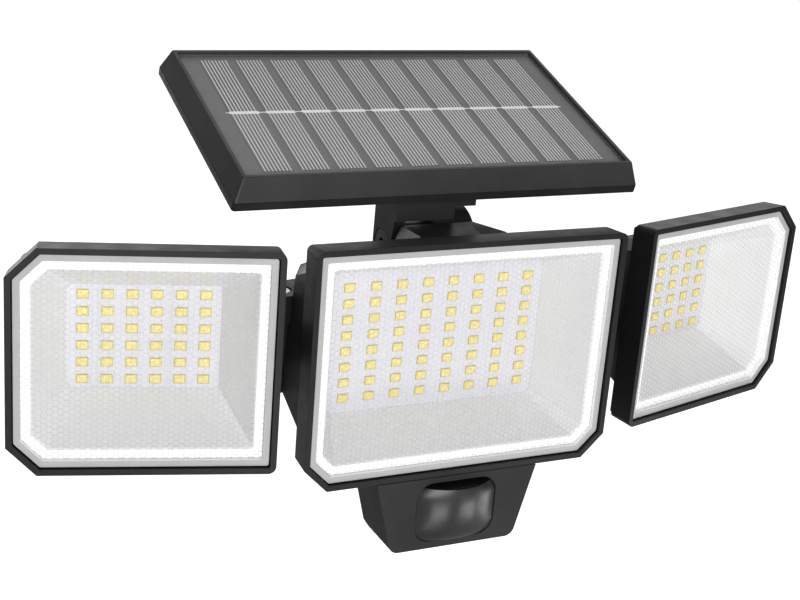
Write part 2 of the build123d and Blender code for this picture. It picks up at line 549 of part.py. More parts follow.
def make_housing(head):
    """Main housing: flange, shouldered throat, battery box, side ears, panel knuckle and sensor tongue."""
    depth = head.bezel_depth
    throat_front = depth + SHELL_FLANGE - EPS
    tongue = tongue_box()
    with BuildPart() as housing:
        with BuildSketch(upright_plane(depth)):
            head.outline(FLANGE_INSET)
        extrude(amount=-SHELL_FLANGE)
        with BuildSketch(upright_plane(throat_front)):
            section(throat_points(head))
        with BuildSketch(upright_plane(SHOULDER_BACK)):
            section(SHOULDER)
        loft(ruled=True)
        with BuildSketch(upright_plane(SHOULDER_BACK - HOUSING_WALL)):
            section(BOX_FRONT)
        with BuildSketch(upright_plane(BOX_BACK)):
            section(BOX_REAR)
        loft(ruled=True)
        for side in (-1, 1):
            for low, high in (UPPER_EAR, LOWER_EAR):
                with BuildSketch(level_plane(0, YAW_BACK, low)):
                    ear_outline(side)
                extrude(amount=high - low)
        with BuildSketch(hinge_section(KNUCKLE[0])):
            Circle(KNUCKLE_RADIUS)
            with Locations((0, -KNUCKLE_RADIUS)):
                Rectangle(2 * KNUCKLE_RADIUS, 2 * KNUCKLE_RADIUS)
        extrude(amount=KNUCKLE[1] - KNUCKLE[0])
        with BuildSketch(hinge_section(CHEEK_START)):
            Circle(CHEEK_RADIUS)
        extrude(amount=CHEEK_END - CHEEK_START)
        with BuildSketch(level_plane(0, (tongue["front"] + tongue["back"]) / 2, tongue["low"])):
            Rectangle(tongue["width"], tongue["back"] - tongue["front"])
        extrude(amount=tongue["top"] - tongue["low"])
        # hollow
        with BuildSketch(upright_plane(depth - EPS)):
            hollow_section(throat_points(head)[2:])
        with BuildSketch(upright_plane(SHOULDER_BACK - HOUSING_WALL)):
            hollow_section(SHOULDER[2:])
        loft(ruled=True, mode=Mode.SUBTRACT)
        with BuildSketch(upright_plane(SHOULDER_BACK - HOUSING_WALL - EPS)):
            hollow_section(BOX_FRONT)
        with BuildSketch(upright_plane(BOX_BACK - BACK_WALL)):
            hollow_section(BOX_REAR)
        loft(ruled=True, mode=Mode.SUBTRACT)
        # holes
        with BuildSketch(hinge_section(KNUCKLE[0])):
            Circle(PIN_RADIUS)
        extrude(amount=CHEEK_END - KNUCKLE[0], mode=Mode.SUBTRACT)
        for side in (-1, 1):
            with BuildSketch(level_plane(side * YAW_X, YAW_BACK, LOWER_EAR[0])):
                Circle(PIN_RADIUS)
            extrude(amount=UPPER_EAR[1] - LOWER_EAR[0], mode=Mode.SUBTRACT)
            with BuildSketch(level_plane(side * YAW_X, YAW_BACK, UPPER_EAR[1])):
                Circle(YAW_SINK_RADIUS)
            extrude(amount=-YAW_SINK, mode=Mode.SUBTRACT)
        with BuildSketch(upright_plane(depth)):
            with Locations(*head.boss_places()):
                Circle(SCREW_RADIUS + HOLE_GAP)
        extrude(amount=-SHELL_FLANGE, mode=Mode.SUBTRACT)
        with BuildSketch(upright_plane(BOX_BACK)):
            with Locations((0, BOX_MIDDLE)):
                with GridLocations(*FLANGE_SCREWS, 2, 2):
                    Circle(SCREW_RADIUS)
        extrude(amount=BACK_WALL, mode=Mode.SUBTRACT)
        with BuildSketch(upright_plane(tongue["back"])):
            with Locations((0, tongue["low"] + TONGUE_SCREW)):
                with GridLocations(SENSOR_SCREWS, 0, 2, 1):
                    Circle(SCREW_RADIUS)
        extrude(amount=tongue["back"] - tongue["front"], mode=Mode.SUBTRACT)
        with BuildSketch(level_plane(BUTTON_X, BUTTON_BACK, BOX_FRONT[4][1] - 2 * HOUSING_WALL)):
            Circle(BUTTON_RADIUS - BUTTON_HOLE_RIM)
        extrude(amount=4 * HOUSING_WALL, mode=Mode.SUBTRACT)
    save(housing.part, "rear_housing")


# ---------------------------------------------------------------- wall bracket
def make_wall_bracket():
    """Wall plate, a sloping arm that is open underneath, and the flange on the housing's back."""
    flange_y = FACE_Y + BOX_BACK + FLANGE_THICKNESS
    flange_z = CENTRE_Z + BOX_MIDDLE
    out = dict(x_dir=(1, 0, 0), z_dir=(0, -1, 0))
    with BuildPart() as bracket:
        with BuildSketch(Plane(origin=(0, 0, 0), **out)):
            RectangleRounded(PLATE_WIDTH, PLATE_HEIGHT, PLATE_RADIUS)
        extrude(amount=PLATE_THICKNESS)
        chamfer(bracket.faces().sort_by(Axis.Y)[0].outer_wire().edges(), PLATE_CHAMFER)
        with BuildSketch(Plane(origin=(0, -PLATE_THICKNESS + EPS, 0), **out)):
            Rectangle(*ARM_AT_WALL)
        with BuildSketch(Plane(origin=(0, flange_y - EPS, flange_z), **out)):
            Rectangle(*ARM_AT_BOX)
        loft(ruled=True)
        with BuildSketch(Plane(origin=(0, flange_y, flange_z), **out)):
            RectangleRounded(FLANGE_WIDTH, FLANGE_HEIGHT, FLANGE_RADIUS)
        extrude(amount=FLANGE_THICKNESS)
        # channel under the arm
        with BuildSketch(Plane(origin=(0, -PLATE_THICKNESS, -CHANNEL_DROP / 2), **out)):
            Rectangle(ARM_AT_WALL[0] - 2 * ARM_WALL, ARM_AT_WALL[1] + CHANNEL_DROP - 2 * ARM_WALL)
        with BuildSketch(Plane(origin=(0, flange_y, flange_z - CHANNEL_DROP / 2), **out)):
            Rectangle(ARM_AT_BOX[0] - 2 * ARM_WALL, ARM_AT_BOX[1] + CHANNEL_DROP - 2 * ARM_WALL)
        loft(ruled=True, mode=Mode.SUBTRACT)
        # holes
        with BuildSketch(Plane(origin=(0, 0, 0), **out)):
            with GridLocations(HOLE_SPACING_X, HOLE_SPACING_Z, 2, 2):
                Circle(WALL_HOLE_RADIUS)
        extrude(amount=PLATE_THICKNESS, mode=Mode.SUBTRACT)
        with BuildSketch(Plane(origin=(0, flange_y, flange_z), **out)):
            with GridLocations(*FLANGE_SCREWS, 2, 2):
                Circle(SCREW_RADIUS + HOLE_GAP)
        extrude(amount=FLANGE_THICKNESS, mode=Mode.SUBTRACT)
    save(bracket.part, "wall_bracket")


def make_bracket_screws():
    """Screws that hold the bracket's flange to the housing."""
    seat = Plane(origin=(0, FACE_Y + BOX_BACK + FLANGE_THICKNESS, CENTRE_Z + BOX_MIDDLE),
                 x_dir=(-1, 0, 0), z_dir=(0, 1, 0))
    screw = slotted_screw(Plane.XY, FLANGE_THICKNESS + BACK_WALL - EAR_GAP, radius=SCREW_RADIUS - BOLT_FIT)
    with BuildPart() as screws:
        with Locations(seat):
            with GridLocations(*FLANGE_SCREWS, 2, 2):
                add(screw)
    save(screws.part, "bracket_screws")


# ---------------------------------------------------------------- battery, electronics and button
def make_battery():
    """Rechargeable cells lying side by side, and the tray that holds them against the back wall."""
    height = CELL_SPACING * CELL_COUNT
    sleeve = CELL_BODY - CELL_TIP
    with BuildPart() as cells:
        for start, radius, length in ((0.0, CELL_RADIUS, sleeve), (sleeve, CELL_TIP_RADIUS, CELL_TIP)):
            with BuildSketch(cross_plane(start - HALF_CELL, BATTERY_BACK, BATTERY_MIDDLE)):
                with GridLocations(0, CELL_SPACING, 1, CELL_COUNT):
                    Circle(radius)
            extrude(amount=length)
    save(cells.part, "battery_cells")
    floor = BATTERY_BACK + CELL_RADIUS + BATTERY_GAP
    with BuildPart() as tray:
        with BuildSketch(upright_plane(floor)):
            with Locations((0, BATTERY_MIDDLE)):
                Rectangle(2 * TRAY_HALF, height - TRAY_SHORTER)
        extrude(amount=-TRAY_FLOOR)
        with BuildSketch(upright_plane(floor)):
            with Locations((0, BATTERY_MIDDLE)):
                with GridLocations(2 * TRAY_HALF - TRAY_CHEEK, 0, 2, 1):
                    Rectangle(TRAY_CHEEK, height - CHEEK_SHORTER)
        extrude(amount=floor - CONTROL_BACK)
        with BuildSketch(upright_plane(floor)):
            with Locations((0, BATTERY_MIDDLE)):
                with GridLocations(0, CELL_SPACING, 1, CELL_COUNT - 1):
                    Rectangle(CELL_BODY - RIB_SHORTER, TRAY_RIB)
        extrude(amount=TRAY_RIB_HEIGHT)
    save(tray.part, "battery_tray")


def make_control_board():
    """Charge and motion control board with its parts, standing on the battery tray's cheeks."""
    board_height = CELL_SPACING * CELL_COUNT - CONTROL_SHORTER
    front = upright_plane(CONTROL_BACK - BOARD_THICKNESS)
    with BuildPart() as board:
        with BuildSketch(upright_plane(CONTROL_BACK)):
            with Locations((0, BATTERY_MIDDLE)):
                RectangleRounded(2 * TRAY_HALF, board_height, BOARD_CORNER)
        extrude(amount=BOARD_THICKNESS)
    save(board.part, "control_board")
    with BuildPart() as parts:
        with BuildSketch(front):
            with Locations(*[(x, BATTERY_MIDDLE + up) for x, up in CHIPS]):
                Rectangle(*CHIP_SIZE)
        extrude(amount=CHIP_HEIGHT)
        with BuildSketch(front):
            with Locations(*[(x, BATTERY_MIDDLE + up) for x, up in CAPACITORS]):
                Circle(CAPACITOR_RADIUS)
        extrude(amount=CAPACITOR_HEIGHT)
        with BuildSketch(front):
            with Locations((CONNECTOR[0], BATTERY_MIDDLE + CONNECTOR[1])):
                Rectangle(*CONNECTOR_SIZE)
        extrude(amount=CONNECTOR_HEIGHT)
    save(parts.part, "control_parts")


def make_button():
    """Mode button under the housing, and the tactile switch above it on the control board."""
    share = (BUTTON_BACK - SHOULDER_BACK) / (BOX_BACK - SHOULDER_BACK)
    wall_out = BOX_FRONT[4][1] + (BOX_REAR[4][1] - BOX_FRONT[4][1]) * share
    wall_in = wall_out + HOUSING_WALL + 0.4
    stem_top = wall_in + STEM_LENGTH
    with BuildPart() as button:
        with BuildSketch(level_plane(BUTTON_X, BUTTON_BACK, wall_out - BUTTON_PROUD)):
            Circle(BUTTON_RADIUS - BUTTON_HOLE_RIM - BUTTON_SIDE_GAP)
        extrude(amount=stem_top - wall_out)
        fillet(button.edges().sort_by(Axis.Z)[0], BUTTON_ROUNDING)
        with BuildSketch(level_plane(BUTTON_X, BUTTON_BACK, wall_in)):
            Circle(BUTTON_RADIUS + BUTTON_COLLAR)
        extrude(amount=BUTTON_COLLAR_HEIGHT)
        with BuildSketch(level_plane(BUTTON_X, BUTTON_BACK, wall_in)):
            Circle(STEM_RADIUS)
        extrude(amount=stem_top - wall_in)
    save(button.part, "mode_button")
    switch_low = stem_top + BUTTON_TRAVEL + HOLE_GAP
    reach = CONTROL_BACK - BOARD_THICKNESS - BUTTON_BACK + SWITCH_FRONT
    with BuildPart() as switch:
        with BuildSketch(level_plane(BUTTON_X, BUTTON_BACK, switch_low)):
            Circle(SWITCH_TIP)
        extrude(amount=SWITCH_TIP_HEIGHT)
        with BuildSketch(level_plane(BUTTON_X, BUTTON_BACK, switch_low + SWITCH_TIP_HEIGHT)):
            with Locations((0, reach / 2 - SWITCH_FRONT)):
                Rectangle(SWITCH_WIDTH, reach)
        extrude(amount=SWITCH_HEIGHT)
    save(switch.part, "mode_switch")


# ---------------------------------------------------------------- motion sensor
def sensor_outline(inset):
    """Sketch the sensor case's outline: wide at the top, narrow and rounded at the foot."""
    top = SENSOR_TOP_WIDTH / 2 - inset
    foot = SENSOR_FOOT_WIDTH / 2 - inset
    low = SENSOR_TOP - SENSOR_HEIGHT + inset
    Polygon((-top, SENSOR_TOP - inset), (top, SENSOR_TOP - inset), (foot, low), (-foot, low), align=None)
    fillet(vertices().group_by(Axis.Y)[0], max(SENSOR_RADIUS - inset, 1.0))


def window_outline(clearance):
    """Sketch the window that the dome looks out of."""
    with Locations((0, WINDOW_MIDDLE)):
        RectangleRounded(WINDOW_WIDTH - 2 * clearance, WINDOW_HEIGHT - 2 * clearance,
                         WINDOW_RADIUS - clearance)


def make_sensor_case():
    """Case of the motion sensor: hollow, with a window in front and a slot on top for the tongue."""
    tongue = tongue_box()
    low = SENSOR_TOP - SENSOR_HEIGHT
    with BuildPart() as case:
        with BuildSketch(upright_plane(0)):
            sensor_outline(0)
        extrude(amount=-SENSOR_DEPTH)
        heel_run, heel_rise = SENSOR_HEEL
        with BuildSketch(cross_plane(-SENSOR_TOP_WIDTH, 0, 0)):
            Polygon((SENSOR_DEPTH - heel_run, low), (SENSOR_DEPTH, low + heel_rise),
                    (SENSOR_DEPTH + 1, low + heel_rise), (SENSOR_DEPTH + 1, low - 1),
                    (SENSOR_DEPTH - heel_run, low - 1), align=None)
        extrude(amount=2 * SENSOR_TOP_WIDTH, mode=Mode.SUBTRACT)
        with BuildSketch(upright_plane(SENSOR_WALL)):
            sensor_outline(SENSOR_WALL)
        extrude(amount=2 * SENSOR_WALL - SENSOR_DEPTH, mode=Mode.SUBTRACT)
        with BuildSketch(upright_plane(-EPS)):
            window_outline(0)
        extrude(amount=-SENSOR_WALL - 2 * EPS, mode=Mode.SUBTRACT)
        middle = (tongue["front"] + tongue["back"]) / 2
        with BuildSketch(level_plane(0, middle, SENSOR_TOP - SENSOR_WALL - EPS)):
            Rectangle(tongue["width"] + 2 * SLOT_GAP, tongue["back"] - tongue["front"] + 2 * SLOT_GAP)
        extrude(amount=SENSOR_WALL + 2 * EPS, mode=Mode.SUBTRACT)
        with BuildSketch(upright_plane(SENSOR_DEPTH)):
            with Locations((0, tongue["low"] + TONGUE_SCREW)):
                with GridLocations(SENSOR_SCREWS, 0, 2, 1):
                    Circle(SCREW_RADIUS + HOLE_GAP)
        extrude(amount=SENSOR_WALL, mode=Mode.SUBTRACT)
    save(case.part, "sensor_case")


def dome_half_width(up, wall):
    """Half width of the dome at a height above the window's middle: it follows the window's corners."""
    corner = max(abs(up) - (WINDOW_HEIGHT / 2 - WINDOW_RADIUS), 0)
    return WINDOW_WIDTH / 2 - WINDOW_RADIUS + sqrt(WINDOW_RADIUS ** 2 - corner ** 2) - DOME_CLEARANCE - wall


def dome_bulge(up, wall):
    """How far the dome stands out at a height: most a little above the middle, almost none at the foot."""
    fall = (DOME_CREST - up) / (DOME_CREST + WINDOW_HEIGHT / 2)
    swell = (DOME_BULGE - DOME_FOOT_BULGE) * sqrt(max(1 - fall ** 2, 0))
    return DOME_FOOT_BULGE + swell - wall * DOME_DRAFT


def make_dome():
    """Dome lens: flat on top, bulging forwards through the window, with a flange behind the wall."""
    flange_front = SENSOR_WALL + HOLE_GAP
    flange_back = flange_front + DOME_WALL
    flange_top = WINDOW_DROP - SENSOR_WALL - DOME_CLEARANCE
    flange_foot = SENSOR_HEIGHT - WINDOW_DROP - WINDOW_HEIGHT - SENSOR_WALL - DOME_CLEARANCE
    with BuildPart() as dome:
        for wall, mode in ((0.0, Mode.ADD), (DOME_WALL, Mode.SUBTRACT)):
            if wall:
                with BuildSketch(upright_plane(flange_front)):
                    with Locations((0, WINDOW_MIDDLE + (flange_top - flange_foot) / 2)):
                        RectangleRounded(WINDOW_WIDTH + 2 * DOME_FLANGE,
                                         WINDOW_HEIGHT + flange_top + flange_foot, DOME_FLANGE_RADIUS)
                extrude(amount=-DOME_WALL)
            top = WINDOW_HEIGHT / 2 - DOME_BROW - wall
            foot = DOME_CLEARANCE + wall - WINDOW_HEIGHT / 2
            for step in range(DOME_STEPS + 1):
                up = (top + foot) / 2 + (top - foot) / 2 * cos(radians(180.0 * step / DOME_STEPS))
                half, bulge = dome_half_width(up, wall), dome_bulge(up, wall)
                front, back = DOME_SINK + wall, flange_back + (EPS if wall else 0)
                with BuildSketch(Plane(origin=at(0, 0, WINDOW_MIDDLE + up))):
                    with BuildLine():
                        ThreePointArc((-half, front), (0, front - bulge), (half, front))
                        Polyline((half, front), (half, back), (-half, back), (-half, front))
                    make_face()
            loft(mode=mode)
    save(dome.part, "sensor_dome")


def make_sensor_insides():
    """Small board behind the dome with the round infrared detector on it."""
    board_back = SENSOR_BOARD_BACK
    middle = WINDOW_MIDDLE - SENSOR_BOARD_DROP
    with BuildPart() as board:
        with BuildSketch(upright_plane(board_back)):
            with Locations((0, middle)):
                RectangleRounded(*SENSOR_BOARD, SENSOR_BOARD_RADIUS)
        extrude(amount=-BOARD_THICKNESS)
    save(board.part, "sensor_board")
    with BuildPart() as pir:
        for radius, height in (DETECTOR_BASE, DETECTOR_CAN):
            with BuildSketch(upright_plane(board_back)):
                with Locations((0, middle)):
                    Circle(radius)
            extrude(amount=height)
    save(pir.part, "pir_detector")
    post_length = SENSOR_DEPTH - SENSOR_WALL - board_back - BOARD_THICKNESS
    with BuildPart() as posts:
        with BuildSketch(upright_plane(board_back + BOARD_THICKNESS)):
            with Locations((0, WINDOW_MIDDLE - POST_DROP)):
                with GridLocations(POST_SPACING, 0, 2, 1):
                    Circle(POST_RADIUS)
        extrude(amount=-post_length)
    save(posts.part, "sensor_posts")
    origin = at(0, SENSOR_DEPTH, tongue_box()["low"] + TONGUE_SCREW)
    seat = Plane(origin=origin, x_dir=(-1, 0, 0), z_dir=(0, 1, 0))
    screw = slotted_screw(Plane.XY, SENSOR_WALL + 4.0, radius=SCREW_RADIUS - BOLT_FIT)
    with BuildPart() as screws:
        with Locations(seat):
            with GridLocations(SENSOR_SCREWS, 0, 2, 1):
                add(screw)
    save(screws.part, "sensor_screws")


# ---------------------------------------------------------------- solar panel
def panel_plane():
    """The plane of the panel's rim: local X right, local Y towards the wall, local Z out of the glass."""
    lean = radians(PANEL_TILT)
    return Plane(origin=at(0, PANEL_BACK, PANEL_UP), x_dir=(1, 0, 0), z_dir=(0, -sin(lean), cos(lean)))


def make_panel():
    """Solar panel: frame, glass, cell strips, backing sheet, bottom cover and screws."""
    plane = panel_plane()
    rim = (PANEL_WIDTH, PANEL_LENGTH)
    skirt = tuple(size + 2 * PANEL_FLARE for size in rim)
    glass = tuple(size - 2 * PANEL_RIM for size in rim)
    pane = tuple(size - 2 * PANE_GAP for size in glass)
    window = tuple(size - 2 * PANEL_LEDGE for size in glass)
    stack = GLASS_RECESS + GLASS_THICKNESS + CELL_THICKNESS + BACKING_THICKNESS
    with BuildPart() as frame:
        with BuildSketch(plane):
            RectangleRounded(*rim, RIM_RADIUS)
        with BuildSketch(plane.offset(-PANEL_SKIRT)):
            RectangleRounded(*skirt, SKIRT_RADIUS)
        loft(ruled=True)
        with BuildSketch(plane):
            RectangleRounded(*glass, RIM_RADIUS)
        extrude(amount=-stack, mode=Mode.SUBTRACT)
        with BuildSketch(plane):
            RectangleRounded(*window, RIM_RADIUS)
        extrude(amount=-PANEL_SKIRT, mode=Mode.SUBTRACT)
    save(frame.part, "panel_frame")
    with BuildPart() as cover_glass:
        with BuildSketch(plane.offset(-GLASS_RECESS)):
            RectangleRounded(*pane, PANE_RADIUS)
        extrude(amount=-GLASS_THICKNESS)
    save(cover_glass.part, "panel_glass")
    with BuildPart() as cells:
        with BuildSketch(plane.offset(-GLASS_RECESS - GLASS_THICKNESS)):
            with Locations(STRIP_SHIFT):
                with GridLocations(STRIP_PITCH, STRIP_SIZE[1] + STRIP_GAP_Y, STRIP_COLUMNS, 2):
                    Rectangle(*STRIP_SIZE)
        extrude(amount=-CELL_THICKNESS)
    save(cells.part, "solar_cells")
    with BuildPart() as backing:
        with BuildSketch(plane.offset(-GLASS_RECESS - GLASS_THICKNESS - CELL_THICKNESS)):
            RectangleRounded(*pane, PANE_RADIUS)
        extrude(amount=-BACKING_THICKNESS)
    save(backing.part, "cell_backing")
    bottom = PANEL_SKIRT + COVER_HEIGHT
    screw_grid = tuple(size - 2 * PANEL_SCREW_INSET for size in skirt)
    with BuildPart() as cover:
        with BuildSketch(plane.offset(-PANEL_SKIRT)):
            RectangleRounded(*skirt, SKIRT_RADIUS)
        extrude(amount=-COVER_HEIGHT)
        with BuildSketch(plane.offset(-PANEL_SKIRT)):
            RectangleRounded(skirt[0] - 2 * COVER_WALL, skirt[1] - 2 * COVER_WALL, RIM_RADIUS)
        extrude(amount=COVER_FLOOR - COVER_HEIGHT, mode=Mode.SUBTRACT)
        with BuildSketch(plane.offset(-bottom + EPS)):
            with GridLocations(*screw_grid, 2, 2):
                Circle(PANEL_POST_RADIUS)
        extrude(amount=COVER_HEIGHT - EPS)
        with BuildSketch(plane.offset(-bottom)):
            with GridLocations(*screw_grid, 2, 2):
                Circle(SCREW_RADIUS + HOLE_GAP)
            with Locations((BRACKET_MIDDLE, FOOT_MIDDLE)):
                with GridLocations(*FOOT_SCREWS, 2, 2):
                    Circle(SCREW_RADIUS)
        extrude(amount=COVER_HEIGHT, mode=Mode.SUBTRACT)
    save(cover.part, "panel_cover")
    under = Plane(origin=plane.offset(-bottom).origin, x_dir=(-1, 0, 0), z_dir=-plane.z_dir)
    screw = slotted_screw(Plane.XY, COVER_HEIGHT - CAP_GAP, radius=SCREW_RADIUS - BOLT_FIT)
    with BuildPart() as screws:
        with Locations(under):
            with GridLocations(*screw_grid, 2, 2):
                add(screw)
    save(screws.part, "panel_screws")


def make_panel_bracket():
    """Bracket under the panel: a foot on the cover, a front web and two ears round the hinge."""
    plane = panel_plane().offset(-PANEL_SKIRT - COVER_HEIGHT)
    foot_low = plane.from_local_coords((0, FOOT_MIDDLE, -FOOT_THICKNESS))
    slope = radians(PANEL_TILT)
    front, back = -WEB_FRONT, BRACKET_RADIUS - 1.0
    width = BRACKET_RIGHT - BRACKET_LEFT

    def height(run):
        """Height above the hinge of the foot's underside, which the ears run into."""
        behind = FACE_Y + HINGE_BACK + run - foot_low.Y
        return foot_low.Z - CENTRE_Z - HINGE_UP + behind * sin(slope) / cos(slope) + 1.0

    inside = front + WEB_THICKNESS
    with BuildPart() as bracket:
        with BuildSketch(plane):
            with Locations((0, FOOT_MIDDLE)):
                RectangleRounded(*FOOT_SIZE, FOOT_RADIUS)
        extrude(amount=-FOOT_THICKNESS)
        for start in (BRACKET_LEFT, BRACKET_RIGHT - BRACKET_EAR):
            with BuildSketch(hinge_section(start)):
                Circle(BRACKET_RADIUS)
                Polygon((-BRACKET_RADIUS, 0), (front, WEB_STEP), (front, height(front)),
                        (back, height(back)), (BRACKET_RADIUS, 0), align=None)
            extrude(amount=BRACKET_EAR)
        for low, end in ((WEB_LOW, BRACKET_RIGHT), (WEB_STEP, WEB_END)):
            with BuildSketch(hinge_section(BRACKET_LEFT)):
                Polygon((front, low), (inside, low), (inside, height(inside)), (front, height(front)),
                        align=None)
            extrude(amount=end - BRACKET_LEFT)
        with BuildSketch(hinge_section(BRACKET_LEFT)):
            Circle(PIN_RADIUS + PIN_CLEARANCE)
        extrude(amount=width, mode=Mode.SUBTRACT)
        with BuildSketch(hinge_section(BRACKET_LEFT)):
            Circle(CAP_RADIUS + CAP_RECESS_GAP)
        extrude(amount=CAP_THICKNESS + 2 * CAP_GAP, mode=Mode.SUBTRACT)
        with BuildSketch(plane):
            with Locations((BRACKET_MIDDLE, FOOT_MIDDLE)):
                with GridLocations(*FOOT_SCREWS, 2, 2):
                    Circle(SCREW_RADIUS + HOLE_GAP)
        extrude(amount=-FOOT_THICKNESS, mode=Mode.SUBTRACT)
    save(bracket.part, "panel_bracket")
    under = Plane(origin=plane.offset(-FOOT_THICKNESS).from_local_coords((BRACKET_MIDDLE, FOOT_MIDDLE, 0)),
                  x_dir=(-1, 0, 0), z_dir=-plane.z_dir)
    screw = slotted_screw(Plane.XY, FOOT_THICKNESS + COVER_FLOOR - CAP_GAP, radius=SCREW_RADIUS - BOLT_FIT,
                          head=FOOT_SCREW_HEAD)
    with BuildPart() as screws:
        with Locations(under):
            with GridLocations(*FOOT_SCREWS, 2, 2):
                add(screw)
    save(screws.part, "foot_screws")


def make_hinge():
    """Hinge bolt with its flat head in the left ear, and the nut on the housing's right cheek."""
    head_start = BRACKET_LEFT + CAP_GAP
    with BuildPart() as bolt:
        with BuildSketch(hinge_section(head_start)):
            Circle(CAP_RADIUS)
        extrude(amount=CAP_THICKNESS)
        with BuildSketch(hinge_section(head_start)):
            Circle(PIN_RADIUS - BOLT_FIT)
        extrude(amount=CHEEK_END + NUT_THICKNESS + BOLT_OVERHANG - head_start)
        with BuildSketch(hinge_section(head_start)):
            RegularPolygon(radius=CAP_SOCKET_RADIUS, side_count=6)
        extrude(amount=CAP_SOCKET_DEPTH, mode=Mode.SUBTRACT)
    save(bolt.part, "hinge_bolt")
    with BuildPart() as nut:
        with BuildSketch(hinge_section(CHEEK_END)):
            RegularPolygon(radius=NUT_RADIUS, side_count=6)
            Circle(PIN_RADIUS, mode=Mode.SUBTRACT)
        extrude(amount=NUT_THICKNESS)
    save(nut.part, "hinge_nut")


# ---------------------------------------------------------------- the whole light
centre = Head("centre", facing_plane(0, 0, 0, 0), CENTRE_WIDTH, CENTRE_HEIGHT, CENTRE_CUT, (0, -1),
              CENTRE_BEZEL_DEPTH, CENTRE_PLATE, CENTRE_LEDS,
              led_pitch(CENTRE_PLATE, CENTRE_LEDS, CENTRE_LED_MARGIN))
make_front_pieces(centre)
make_housing(centre)
make_head_screws(centre, CENTRE_BEZEL_DEPTH + SHELL_FLANGE)
for lamp_side in (-1, 1):
    lamp = side_head(lamp_side)
    make_front_pieces(lamp)
    make_shell(lamp)
    make_head_screws(lamp, SIDE_BEZEL_DEPTH + SHELL_FLANGE)
    make_elbow(lamp, lamp_side)
    make_tilt_bolt(lamp)
    make_yaw_bolt(lamp, lamp_side)
make_wall_bracket()
make_bracket_screws()
make_battery()
make_control_board()
make_button()
make_sensor_case()
make_dome()
make_sensor_insides()
make_panel()
make_panel_bracket()
make_hinge()
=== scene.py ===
# %% [markdown]
# # A solar security light, finished in Blender
# The light hangs on a wall: a wide lamp in the middle, a swivelling lamp at each side, a motion sensor
# below and a tilting solar panel above.  The CAD model already holds every piece at its real size.  This
# lesson gives each piece the edges, surface and small printed or moulded detail that the real one shows.

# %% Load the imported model
import json
from math import cos, pi, radians, sin, sqrt

import bmesh
import bpy
from mathutils import Matrix, Vector


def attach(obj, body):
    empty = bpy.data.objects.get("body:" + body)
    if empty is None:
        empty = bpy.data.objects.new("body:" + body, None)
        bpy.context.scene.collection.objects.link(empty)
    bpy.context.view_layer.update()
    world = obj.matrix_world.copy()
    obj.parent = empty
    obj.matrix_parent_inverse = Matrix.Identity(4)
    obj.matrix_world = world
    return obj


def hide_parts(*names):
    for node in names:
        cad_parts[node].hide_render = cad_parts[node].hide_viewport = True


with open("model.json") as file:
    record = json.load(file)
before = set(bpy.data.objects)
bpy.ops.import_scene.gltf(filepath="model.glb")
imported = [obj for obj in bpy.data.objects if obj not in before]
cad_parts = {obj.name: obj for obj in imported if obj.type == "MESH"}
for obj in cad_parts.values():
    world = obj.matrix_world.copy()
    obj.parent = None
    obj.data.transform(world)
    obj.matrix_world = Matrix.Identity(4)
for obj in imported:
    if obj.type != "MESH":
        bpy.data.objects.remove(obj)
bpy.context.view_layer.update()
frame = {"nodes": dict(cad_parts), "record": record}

MM = 0.001
record = frame["record"]
body_of_node = {node: body for body, nodes in record["behaviour"]["bodies"].items() for node in nodes}
slot_of_node = {row["node"]: row["material_slot"] for row in record["subparts"]}

# %% [markdown]
# ## Places
# Each lamp head and the solar panel is built flat in its own plane, then turned into place.  A piece made
# in its own plane also has its own straight object coordinates, so a honeycomb or a row of lines can be
# laid along its edges.  So the first values are the planes: where each one starts and how it is turned.

# %% Planes of the heads and the panel
FACE_TO_WALL, CENTRE_Z = 165.0, 48.0
SIDE_X, SIDE_BACK, SIDE_UP, SIDE_YAW = 141.3, 13.3, 6.5, 15.0
PANEL_BACK, PANEL_UP, PANEL_TILT = 85.3, 94.4, 18.5


def plane_matrix(x, back, up, right, high):
    """A plane's matrix: its middle is told from the centre lamp's face, in millimetres."""
    right, high = Vector(right), Vector(high)
    out = right.cross(high)
    turn = Matrix((right, high, out)).transposed().to_4x4()
    return Matrix.Translation(Vector((x, back - FACE_TO_WALL, up + CENTRE_Z)) * MM) @ turn


def head_matrix(side):
    """The plane of a lamp's face: -1 is the left lamp, 0 the middle one and 1 the right one."""
    turn = radians(SIDE_YAW * side)
    place = (side * SIDE_X, SIDE_BACK, SIDE_UP) if side else (0, 0, 0)
    return plane_matrix(*place, (cos(turn), sin(turn), 0), (0, 0, 1))


lean = radians(PANEL_TILT)
PLANES = {"left": head_matrix(-1), "centre": head_matrix(0), "right": head_matrix(1),
          "panel": plane_matrix(0, PANEL_BACK, PANEL_UP, (1, 0, 0), (0, cos(lean), sin(lean))),
          "upright": head_matrix(0)}
print("left lamp's face starts at", [round(v, 4) for v in PLANES["left"].translation])

# %% [markdown]
# ## A camera where the photographer stood
# A camera is known once its place, its direction and its lens are known.  All three were worked out from
# the straight edges of the lamps and the panel, so the model can be laid over the picture.  The small
# shifts say that the picture was cut a little off the lens's own middle.

